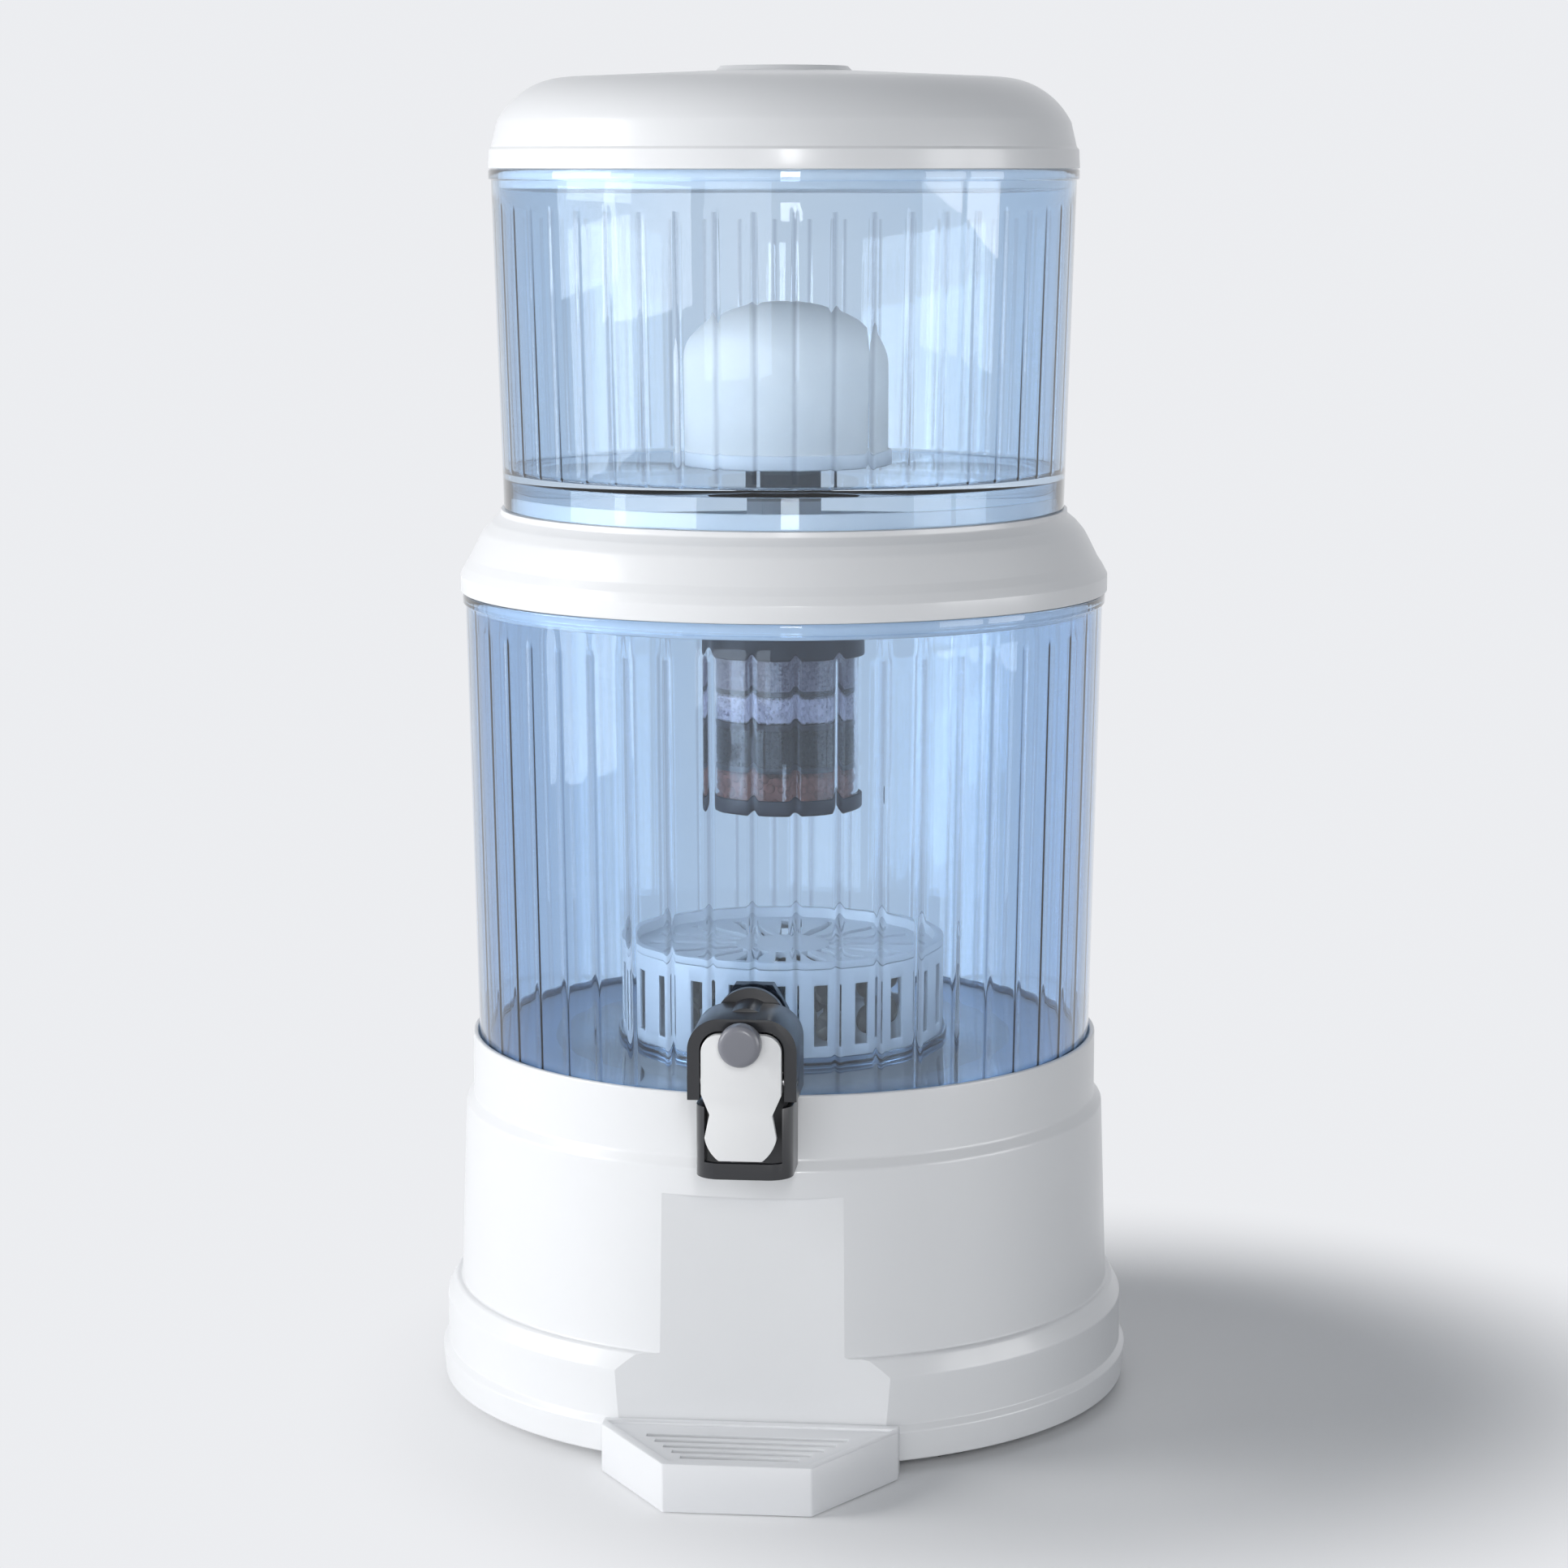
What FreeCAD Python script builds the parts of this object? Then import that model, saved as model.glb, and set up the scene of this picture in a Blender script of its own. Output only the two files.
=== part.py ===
import FreeCAD, Part
import math
import os
import re
import Sketcher

# Gravity water filter with a tap, in millimetres.
# The origin is on the vertical axis of the tanks, on the table. +Z is up and -Y is the front, where
# the tap and the drip tray are. Raw water goes in under the lid, seeps through the ceramic dome,
# drips down through the cartridge and the stone case, and leaves the lower tank at the tap.

# Every size that can be chosen by itself, with what it measures.
SIZES = {
    # Clearances
    "seat_gap": (0.3, "between two pieces that are stacked and lift apart"),
    "slip_gap": (0.4, "around a skirt or a ring that slips into another piece"),
    "fit_gap": (0.05, "around a piece that is fitted for good"),
    # Flat sides that a round piece is drawn with
    "round_sides": (48, "large round pieces"),
    "plain_sides": (30, "small round pieces"),
    # Stand
    "foot_height": (4.5, "foot ring"),
    "foot_outer": (139.0, "foot ring radius outside"),
    "foot_inner": (131.0, "foot ring radius inside"),
    "foot_opening": (66.0, "degrees left open at the front of the foot ring"),
    "skirt_radius": (150.0, "lowest edge of the stand"),
    "bulge_radius": (151.0, "widest line of the stand"),
    "bulge_height": (17.0, "level of the widest line"),
    "flange_radius": (148.6, "foot flange"),
    "flange_step": (19.5, "level where the flange starts above the bulge"),
    "flange_top": (47.5, "level of the flange's top"),
    "flange_bevel": (7.5, "height of the bevel at the flange's top"),
    "flange_bevel_depth": (3.6, "depth of that bevel"),
    "drum_foot_radius": (142.2, "drum where it leaves the flange"),
    "drum_top_radius": (139.5, "drum at its top"),
    "drum_top": (126.0, "level of the drum's top"),
    "collar_base": (130.0, "level where the collar starts"),
    "collar_radius": (136.2, "collar around the lower tank"),
    "collar_top": (157.0, "level of the collar's rim"),
    "stand_wall": (2.8, "moulded wall of the stand"),
    "deck_height": (152.0, "level of the deck that carries the lower tank"),
    "deck_thickness": (3.0, "deck"),
    "deck_hole": (100.0, "radius of the hole in the deck"),
    "web_inner": (126.0, "radius inside the web that holds the foot ring"),
    "panel_foot_depth": (138.4, "front panel at its foot, from the axis"),
    "panel_top_depth": (134.8, "front panel at its upper edge, from the axis"),
    "panel_top": (115.0, "level of the panel's upper edge"),
    # Drip tray
    "tray_front": (196.0, "front edge of the tray, from the axis"),
    "tray_chamfer": (48.0, "depth of the slanted corners"),
    "tray_front_half": (30.0, "half the straight front edge"),
    "tray_half": (61.0, "half the tray's width"),
    "tray_base": (0.5, "level of the tray's underside"),
    "tray_height": (20.0, "tray"),
    "tray_floor": (2.5, "tray floor"),
    "tray_rim": (4.5, "rim around the grille"),
    "ledge_width": (2.5, "ledge that the grille lies on"),
    "ledge_depth": (3.5, "ledge below the rim"),
    "grille_thickness": (2.2, "drip grille"),
    "grille_slot": (3.6, "width of one slot"),
    "grille_pitch": (6.6, "from slot to slot"),
    "grille_border": (6.0, "plain border around the slots"),
    "tongue_half": (45.0, "half the width of the tray's tongue"),
    "tongue_base": (8.8, "level of the tongue's underside"),
    "tongue_thickness": (5.0, "tongue"),
    "tongue_length": (26.0, "tongue behind the panel's face"),
    # Lower tank
    "lower_foot_radius": (133.4, "tank wall at its foot"),
    "lower_mouth_radius": (137.4, "tank wall under the rim"),
    "lower_rim_radius": (138.4, "rim of the mouth"),
    "lower_rim": (4.5, "depth of the rim"),
    "lower_height": (197.2, "tank"),
    "lower_floor": (2.7, "tank floor"),
    "tank_wall": (2.5, "wall of both tanks"),
    # Middle cover
    "cover_radius": (139.3, "band that stands on the tank's rim"),
    "cover_band": (7.2, "height of the band"),
    "cover_height": (35.2, "cover, to the seat of the upper tank"),
    "shoulder_low": (14.5, "level of the first bend of the shoulder, above the tank"),
    "shoulder_low_radius": (135.0, "shoulder at its first bend"),
    "shoulder_high": (25.5, "level of the second bend of the shoulder"),
    "shoulder_high_radius": (129.4, "shoulder at its second bend"),
    "cover_neck": (121.8, "radius where the upper tank stands"),
    "cover_wall": (2.5, "wall of the cover"),
    "cover_spigot": (7.0, "ring that reaches into the lower tank"),
    "cover_ring": (7.0, "ring that reaches into the upper tank's skirt"),
    "cover_hole": (95.0, "radius of the hole that the cartridge passes"),
    # Upper tank
    "upper_foot_radius": (120.4, "tank wall at its foot"),
    "upper_mouth_radius": (124.7, "tank wall under the rim"),
    "upper_rim_radius": (125.6, "rim of the mouth"),
    "upper_rim": (4.0, "depth of the rim"),
    "upper_height": (143.2, "tank"),
    "upper_skirt": (13.4, "skirt under the floor"),
    "upper_floor": (2.8, "tank floor"),
    # Lid
    "lid_radius": (125.6, "lower edge of the lid"),
    "lid_band": (8.0, "height of the lid's lower band"),
    "lid_band_step": (0.9, "step above the band"),
    "lid_round": (34.0, "radius of the curve of the lid's shoulder"),
    "lid_round_start": (26.6, "degrees above level where that curve starts"),
    "lid_crown_radius": (91.4, "radius where the shoulder meets the flat crown"),
    "lid_crown_edge": (38.0, "level of that edge above the lid's foot"),
    "lid_height": (40.9, "lid without the disc on top"),
    "lid_wall": (2.5, "wall of the lid"),
    "lid_spigot": (8.0, "ring that reaches into the upper tank"),
    "disc_radius": (27.0, "raised disc on top"),
    "disc_height": (2.0, "raised disc on top"),
    # Ceramic dome and its base
    "ceramic_radius": (44.8, "ceramic dome"),
    "ceramic_side": (40.5, "height of the straight side"),
    "ceramic_crown": (28.0, "height of the crown"),
    "ceramic_wall": (9.0, "ceramic wall"),
    "plate_thickness": (3.0, "base plate under the ceramic"),
    "plate_rim": (3.5, "rim that holds the ceramic"),
    "plate_rim_wall": (1.6, "wall of that rim"),
    "stem_radius": (8.0, "threaded stem"),
    "stem_bore": (3.5, "bore of the stem"),
    "stem_length": (31.5, "stem below the base plate"),
    "stem_hole": (8.4, "radius of the hole in the tank's floor"),
    "gasket_radius": (16.0, "floor gaskets"),
    "gasket_thickness": (2.0, "all gaskets"),
    "stem_nut_radius": (16.0, "corners of the stem nut"),
    "stem_nut_height": (8.0, "stem nut"),
    # Cartridge
    "cap_radius": (34.9, "dark upper cap"),
    "cap_height": (53.0, "dark upper cap"),
    "cap_wall": (2.2, "wall of the cap"),
    "cap_boss_radius": (12.5, "threaded boss on the cap"),
    "cap_boss_height": (11.0, "threaded boss on the cap"),
    "shell_radius": (32.4, "clear tube"),
    "shell_wall": (1.6, "clear tube"),
    "shell_overlap": (40.0, "tube inside the cap"),
    "sand_depth": (13.5, "mineral sand"),
    "zeolite_depth": (12.5, "zeolite"),
    "carbon_depth": (16.5, "activated carbon"),
    "balls_depth": (15.0, "ceramic balls"),
    "pad_depth": (2.3, "separator pad"),
    "cup_radius": (33.9, "dark lower cap"),
    "cup_floor": (3.5, "floor of the lower cap"),
    "cup_lip": (3.3, "lip of the lower cap around the tube"),
    "cup_outlet": (4.0, "radius of the outlet"),
    # Stone case
    "case_radius": (69.8, "stone case"),
    "case_height": (40.5, "stone case without its lid"),
    "case_wall": (2.2, "stone case"),
    "case_slots": (24, "slots around the stone case"),
    "case_slot": (6.5, "width of one slot"),
    "case_border": (7.0, "plain wall above and below the slots"),
    "case_lid_rim": (3.0, "rim of the lid above the case"),
    "case_lid_plug": (4.0, "lid below its rim"),
    "case_lid_recess": (4.5, "recess of the lid's slotted middle"),
    "case_lid_ring": (4.0, "width of the lid's rim"),
    "case_lid_slots": (16, "radial slots in the lid"),
    "case_lid_slot": (5.6, "width of one slot in the lid"),
    "locating_ring": (3.0, "ring on the tank floor around the case"),
    "stone_radius": (11.2, "one mineral stone"),
    "stone_height": (15.5, "one mineral stone"),
    "stone_spacing": (22.4, "from stone to stone"),
    # Tap
    "tap_height": (188.0, "level of the tap's shank"),
    "tap_seat_radius": (17.0, "flat seat on the tank around the shank"),
    "tap_seat_out": (136.0, "outer face of that seat, from the axis"),
    "tap_seat_in": (129.8, "inner face of that seat, from the axis"),
    "shank_radius": (8.0, "threaded shank"),
    "shank_bore": (4.5, "bore of the shank"),
    "shank_hole": (8.3, "radius of the hole in the tank's wall"),
    "tap_gasket_radius": (14.0, "gaskets of the tap"),
    "tap_flange_radius": (14.5, "flange of the tap"),
    "tap_flange": (3.5, "thickness of the flange"),
    "chamber_radius": (10.5, "valve chamber"),
    "chamber_bore": (7.6, "valve chamber"),
    "chamber_length": (17.5, "valve chamber, from its seat"),
    "seat_wall": (2.0, "wall that the valve closes against"),
    "hood_half": (21.8, "half the width of the hood"),
    "hood_wall": (4.9, "legs and arch of the hood"),
    "hood_round": (13.0, "rounding of the hood's corners"),
    "hood_top": (9.0, "top of the hood above the shank"),
    "hood_leg": (24.0, "legs of the hood below the shank"),
    "hood_back": (144.0, "back of the hood, from the axis"),
    "hood_front": (175.0, "front of the hood, from the axis"),
    "hood_plate": (3.0, "plate behind the hood"),
    "shroud_half": (19.5, "half the width of the spout shroud"),
    "shroud_top": (28.0, "top of the shroud below the shank"),
    "shroud_bottom": (57.0, "bottom of the shroud below the shank"),
    "shroud_front": (172.0, "front of the shroud, from the axis"),
    "shroud_wall": (2.5, "wall of the shroud"),
    "shroud_round": (10.0, "rounding of the shroud's front corners"),
    "window_half": (15.6, "half the opening that the lever swings in"),
    "window_bottom": (50.5, "sill of that opening below the shank"),
    "nozzle_radius": (7.0, "nozzle"),
    "nozzle_bore": (4.2, "nozzle"),
    "nozzle_out": (152.5, "centre line of the nozzle, from the axis"),
    "nozzle_bottom": (54.0, "mouth of the nozzle below the shank"),
    "tap_nut_radius": (15.5, "corners of the tap's nut"),
    "tap_nut_height": (7.0, "tap nut"),
    "bonnet_radius": (3.9, "nose of the bonnet around the stem"),
    "bonnet_nose": (3.0, "nose of the bonnet in front of the chamber"),
    "bonnet_spigot": (3.2, "bonnet inside the chamber"),
    "rod_radius": (2.2, "valve stem"),
    "rod_front": (182.0, "front end of the valve stem, from the axis"),
    "head_radius": (6.0, "head of the valve stem"),
    "head_thickness": (2.0, "head of the valve stem"),
    "washer_radius": (6.4, "valve washer"),
    "washer_thickness": (2.0, "valve washer"),
    "spring_radius": (4.9, "spring outside"),
    "spring_wire": (0.9, "diameter of the spring's wire"),
    "spring_length": (5.2, "spring, pressed together"),
    "knob_radius": (8.5, "knob"),
    "knob_back": (178.2, "back of the knob, from the axis"),
    "knob_depth": (7.8, "knob"),
    "knob_round": (2.5, "rounding of the knob's front edge"),
    "pivot_drop": (17.0, "pivot pin below the shank"),
    "pivot_out": (170.0, "pivot pin, from the axis"),
    "pin_radius": (1.6, "pivot pin"),
    "hub_radius": (4.0, "hub of the lever"),
    "lever_gap": (0.9, "between lever and hood at each side"),
    "lever_back": (173.8, "back of the lever, from the axis"),
    "lever_thickness": (4.0, "lever"),
    "lever_bend": (22.0, "where the lever bends forward, below the shank"),
    "lever_lean": (3.8, "how far its lower end leans forward"),
    "lever_waist_half": (12.5, "half the narrowest width"),
    "lever_waist": (29.0, "narrowest place below the shank"),
    "lever_flare_half": (14.3, "half the width of the lower end"),
    "lever_flare": (38.0, "widest place of the lower end below the shank"),
    "lever_bottom": (47.0, "lower end below the shank"),
    "prong_gap": (4.5, "half the notch around the valve stem"),
}


def along(low, high, bottom, top, level):
    """The formula of a value that grows evenly from low to high between two levels."""
    return f"({low} + ({high} - {low}) * ({level} - ({bottom})) / (({top}) - ({bottom})))"


def lower_wall(level):
    """Outer radius of the lower tank's tapered wall."""
    return along("lower_foot_radius", "lower_mouth_radius", "lower_base", "lower_top", level)


def upper_wall(level):
    """Outer radius of the upper tank's tapered wall."""
    return along("upper_foot_radius", "upper_mouth_radius", "upper_base", "upper_top", level)


def slip_radius(wall):
    """Outer radius of a ring that slips into a tank."""
    return f"({wall} - tank_wall) - slip_gap"


# Levels and places that follow from the sizes.
LEVELS = {
    "deck_under": "deck_height - deck_thickness",
    "lower_base": "deck_height + seat_gap",
    "lower_floor_top": "lower_base + lower_floor",
    "lower_top": "lower_base + lower_height",
    "lower_rim_base": "lower_top - lower_rim",
    "collar_bore": lower_wall("collar_top") + " + slip_gap",
    "cover_base": "lower_top + seat_gap",
    "cover_top": "cover_base + cover_height",
    "upper_base": "cover_top + seat_gap",
    "upper_floor_top": "upper_base + upper_skirt + upper_floor",
    "upper_top": "upper_base + upper_height",
    "upper_rim_base": "upper_top - upper_rim",
    "lid_base": "upper_top + seat_gap",
    "lid_crown": "lid_base + lid_height",
    "spigot_radius": slip_radius(upper_wall("(upper_top - lid_spigot)")),
    "plate_base": "upper_floor_top + gasket_thickness",
    "plate_top": "plate_base + plate_thickness",
    "ceramic_shoulder": "plate_top + ceramic_side",
    "lower_gasket_base": "upper_base + upper_skirt - gasket_thickness",
    "nut_base": "lower_gasket_base - stem_nut_height",
    "boss_top": "nut_base - seat_gap",
    "cap_top": "boss_top - cap_boss_height",
    "cap_base": "cap_top - cap_height",
    "sand_base": "cap_base - sand_depth",
    "zeolite_base": "sand_base - pad_depth - zeolite_depth",
    "carbon_base": "zeolite_base - pad_depth - carbon_depth",
    "balls_base": "carbon_base - pad_depth - balls_depth",
    "media_radius": "shell_radius - shell_wall - fit_gap",
    "case_base": "lower_floor_top + seat_gap",
    "case_top": "case_base + case_height",
    "case_lid_base": "case_top + seat_gap",
    "tap_flange_back": "tap_seat_out + gasket_thickness",
    "valve_seat": "tap_flange_back + tap_flange + seat_wall",
    "chamber_end": "valve_seat + chamber_length",
    "tap_nut_face": "tap_seat_in - gasket_thickness",
    "shank_end": "tap_nut_face - tap_nut_height - 3",
    "washer_back": "valve_seat + 0.2",
    "head_back": "washer_back + washer_thickness",
    "head_front": "head_back + head_thickness",
    "hood_inner_half": "hood_half - hood_wall",
    "hood_inner_top": "hood_top - hood_wall",
    "lever_half": "hood_inner_half - lever_gap",
    "lever_top": "hood_inner_top - lever_gap",
    "lever_round": "hood_round - hood_wall - lever_gap",
    "tray_back": "panel_foot_depth + slip_gap",
    "tray_top": "tray_base + tray_height",
    "tray_slant": "sqrt((tray_half - tray_front_half) ^ 2 + tray_chamfer ^ 2)",
}

doc = FreeCAD.newDocument("water_filter")
dims = doc.addObject("Spreadsheet::Sheet", "Dims")
pieces = []


def fill_sheet():
    """Write each size into the sheet: what it measures, and the number under its alias."""
    for row, (name, (size, meaning)) in enumerate(SIZES.items(), start=1):
        dims.set(f"A{row}", meaning)
        dims.set(f"B{row}", str(size))
        dims.setAlias(f"B{row}", name)
    doc.recompute()


def formula(text):
    """Spell a formula out: a size becomes its cell, and a level becomes its own formula."""
    def spell(match):
        word = match.group(0)
        if word in LEVELS:
            return f"({formula(LEVELS[word])})"
        return f"Dims.{word}" if word in SIZES else word
    return re.sub(r"[a-z_]+", spell, text)


def value(text):
    """The number that a formula gives with the sizes as they are."""
    return float(dims.evalExpression(formula(text)))


def bind(item, path, text):
    """Make a property of an object follow a formula."""
    item.setExpression(path, formula(text))


def new_body(name):
    """An empty body whose label is the name of its piece."""
    body = doc.addObject("PartDesign::Body", name)
    body.Label = name
    return body


def keep(piece):
    """Note a finished piece for the export."""
    pieces.append(piece)
    return piece


def new_sketch(body, name, plane, lift="0"):
    """An empty sketch on one of the body's own planes, raised along the plane's normal."""
    sketch = body.newObject("Sketcher::SketchObject", name)
    support = next(item for item in body.Origin.OriginFeatures if item.Role == plane)
    sketch.AttachmentSupport = [(support, "")]
    sketch.MapMode = "FlatFace"
    bind(sketch, "AttachmentOffset.Base.z", lift)
    return sketch


def pin_point(sketch, part, end, across, up):
    """Hold a point of the sketch at its two formulas."""
    for kind, text, axis in (("DistanceX", across, -2), ("DistanceY", up, -1)):
        if text == "0":
            sketch.addConstraint(Sketcher.Constraint("PointOnObject", part, end, axis))
        else:
            index = sketch.addConstraint(Sketcher.Constraint(kind, -1, 1, part, end, value(text)))
            bind(sketch, f"Constraints[{index}]", text)


def arc_between(start, stop, radius, bulge):
    """An arc from start to stop. It bulges to the right of that way with 1, to the left with -1."""
    way = stop - start
    left = FreeCAD.Vector(-way.y, way.x, 0).normalize()
    reach = math.sqrt(max(radius ** 2 - way.Length ** 2 / 4, 0))
    centre = (start + stop) * 0.5 + left * reach * bulge
    ends = (start, stop) if bulge > 0 else (stop, start)
    angles = [math.atan2(end.y - centre.y, end.x - centre.x) for end in ends]
    return Part.ArcOfCircle(Part.Circle(centre, FreeCAD.Vector(0, 0, 1), radius), *angles)


def draw_loop(sketch, corners):
    """A closed loop through corners of (across, up) formulas.

    A corner of (across, up, radius, bulge) starts a side that is an arc.
    """
    first = sketch.GeometryCount
    count = len(corners)
    spots = [FreeCAD.Vector(value(corner[0]), value(corner[1]), 0) for corner in corners]
    starts = []
    for side in range(count):
        start, stop = spots[side], spots[(side + 1) % count]
        if len(corners[side]) > 2:
            radius, bulge = corners[side][2:]
            part = sketch.addGeometry(arc_between(start, stop, value(radius), bulge))
            index = sketch.addConstraint(Sketcher.Constraint("Radius", part, value(radius)))
            bind(sketch, f"Constraints[{index}]", radius)
            starts.append(1 if bulge > 0 else 2)
        else:
            sketch.addGeometry(Part.LineSegment(start, stop))
            starts.append(1)
    for side in range(count):
        after = (side + 1) % count
        joined = (first + side, 3 - starts[side], first + after, starts[after])
        sketch.addConstraint(Sketcher.Constraint("Coincident", *joined))
        pin_point(sketch, first + side, starts[side], *corners[side][:2])


def draw_circle(sketch, across, up, radius):
    """A circle at its formulas."""
    spot = FreeCAD.Vector(value(across), value(up), 0)
    circle = Part.Circle(spot, FreeCAD.Vector(0, 0, 1), value(radius))
    part = sketch.addGeometry(circle)
    index = sketch.addConstraint(Sketcher.Constraint("Radius", part, value(radius)))
    bind(sketch, f"Constraints[{index}]", radius)
    pin_point(sketch, part, 3, across, up)


def revolve(body, name, corners):
    """Turn a profile of (radius, level) corners around the body's vertical axis."""
    sketch = new_sketch(body, f"{name}_profile", "XZ_Plane")
    draw_loop(sketch, corners)
    turned = body.newObject("PartDesign::Revolution", name)
    turned.Profile = sketch
    turned.ReferenceAxis = (sketch, ["V_Axis"])
    turned.Angle = 360
    return turned


def pad(body, name, sketch, length, centred=False):
    """Give a sketch a thickness along its normal, or half to each side."""
    raised = body.newObject("PartDesign::Pad", name)
    raised.Profile = sketch
    raised.Midplane = centred
    bind(raised, "Length", length)
    return raised


def pocket(body, name, sketch, length=None, along_normal=False):
    """Cut a sketch into the body: by a length, or right through to both sides."""
    cut = body.newObject("PartDesign::Pocket", name)
    cut.Profile = sketch
    if length is None:
        cut.Type = "ThroughAll"
        cut.Midplane = True
    else:
        cut.Reversed = along_normal
        bind(cut, "Length", length)
    return cut


def bend(across, up, wide, high, first, last, sides):
    """Corners along a curve around a centre, from one angle to another, in even steps."""
    corners = []
    for side in range(sides + 1):
        angle = f"({first} + ({last} - {first}) * {side} / {sides})"
        corners.append((f"{across} + {wide} * cos({angle})", f"{up} + {high} * sin({angle})"))
    return corners


def prism(name, sides, radius, bottom, height):
    """An upright solid with flat sides around the vertical axis."""
    block = doc.addObject("Part::Prism", name)
    bind(block, "Polygon", sides)
    bind(block, "Circumradius", radius)
    bind(block, "Height", height)
    bind(block, "Placement.Base.z", bottom)
    return block


def cylinder(name, radius, bottom, height):
    """An upright cylinder on the vertical axis."""
    block = doc.addObject("Part::Cylinder", name)
    bind(block, "Radius", radius)
    bind(block, "Height", height)
    bind(block, "Placement.Base.z", bottom)
    return block


def outline(name, radius, level, sides):
    """An even polygon around the vertical axis, for a loft to pass through."""
    polygon = doc.addObject("Part::RegularPolygon", name)
    bind(polygon, "Polygon", sides)
    bind(polygon, "Circumradius", radius)
    bind(polygon, "Placement.Base.z", level)
    return polygon


def flat_sided(name, sections, sides):
    """A solid with flat sides through sections of (radius, level), from the lowest to the top.

    Two sections at one level make a flat step, where the next part of the solid stands.
    """
    runs = [[sections[0]]]
    for section in sections[1:]:
        if section[1] == runs[-1][-1][1]:
            runs.append([])
        runs[-1].append(section)
    parts = []
    for number, run in enumerate(runs):
        loft = doc.addObject("Part::Loft", f"{name}_part_{number}")
        loft.Sections = [outline(f"{name}_outline", *section, sides) for section in run]
        loft.Solid = True
        loft.Ruled = True
        parts.append(loft)
    return fuse(name, parts) if len(parts) > 1 else parts[0]


def plane_faced(name, sections, sides):
    """A solid like flat_sided, of plane faces, for a piece whose sides lean far inwards."""
    count = round(value(sides))
    rings = []
    for radius, level in sections:
        reach, up = value(radius), value(level)
        turns = [math.tau * number / count for number in range(count)]
        rings.append([FreeCAD.Vector(reach * math.cos(turn), reach * math.sin(turn), up)
                      for turn in turns])
    loops = [rings[0], rings[-1]]
    for low, high in zip(rings, rings[1:]):
        for number in range(count):
            after = (number + 1) % count
            loops.append([low[number], low[after], high[after], high[number]])
    faces = [Part.Face(Part.makePolygon(loop + loop[:1])) for loop in loops]
    block = doc.addObject("Part::Feature", name)
    block.Shape = Part.makeSolid(Part.makeShell(faces))
    return block


def turned(name, outside, inside, sides="round_sides", form=flat_sided):
    """A hollow piece around the vertical axis, from the sections of its outside and its hollow."""
    return cut_from(name, form(f"{name}_outside", outside, sides),
                    form(f"{name}_hollow", inside, sides))


def fuse(name, shapes):
    """Several solids joined into one."""
    joined = doc.addObject("Part::MultiFuse", name)
    joined.Shapes = shapes
    return joined


def cut_from(name, base, tool):
    """A solid with another one taken out of it."""
    rest = doc.addObject("Part::Cut", name)
    rest.Label = name
    rest.Base = base
    rest.Tool = tool
    return rest


def on_tap(piece, start="0"):
    """Turn a piece onto the tap's shank, pointing forward, with its foot this far from the axis."""
    piece.Placement = FreeCAD.Placement(FreeCAD.Vector(0, 0, 0), FreeCAD.Vector(1, 0, 0), 90)
    bind(piece, "Placement.Base.y", f"-({start})")
    bind(piece, "Placement.Base.z", "tap_height")
    return piece


def plain_disc(name, radius, bottom, top):
    """A flat-sided disc, such as a layer in the cartridge."""
    return keep(prism(name, "plain_sides", radius, bottom, f"({top}) - ({bottom})"))


def plain_ring(name, inner, outer, bottom, top, sides="plain_sides"):
    """A flat-sided ring, such as a gasket. Its hole stays clear of a round piece inside."""
    height = f"({top}) - ({bottom})"
    block = prism(f"{name}_block", sides, outer, bottom, height)
    clear = f"({inner}) / cos(180 / {sides})"
    hole = prism(f"{name}_hole", sides, clear, f"{bottom} - 1", f"{height} + 2")
    return keep(cut_from(name, block, hole))


def mirrored(corners):
    """The corners followed by their mirror images in reverse, for a loop that is symmetric."""
    return corners + [(f"-({across})", up) for across, up in reversed(corners)]


def make_foot_ring():
    """Dark ring under the stand, open at the front where the drip tray is."""
    block = prism("foot_block", "round_sides", "foot_outer", "0", "foot_height")
    hole = prism("foot_hole", "round_sides", "foot_inner", "-1", "foot_height + 2")
    gap = cylinder("foot_gap", "foot_outer + 10", "-1", "foot_height + 2")
    bind(gap, "Angle", "foot_opening")
    gap.Placement.Rotation = FreeCAD.Rotation(FreeCAD.Vector(0, 0, 1), -90 - value("foot_opening / 2"))
    keep(cut_from("foot_ring", block, fuse("foot_tools", [hole, gap])))


def panel_block(name, inset, top):
    """Everything in front of the leaning front panel, or of a face parallel to it behind it."""
    body = new_body(name)
    side = new_sketch(body, f"{name}_side", "YZ_Plane")
    far = "-(bulge_radius + 10)"
    lean = "(panel_foot_depth - panel_top_depth) / (panel_top - foot_height)"
    foot = f"-(panel_foot_depth + {lean} * foot_height - {inset})"
    head = f"-(panel_foot_depth - {lean} * ({top} - foot_height) - {inset})"
    draw_loop(side, [(far, "0"), (foot, "0"), (head, top), (far, top)])
    pad(body, f"{name}_width", side, "2 * bulge_radius", centred=True)
    return body


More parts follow.
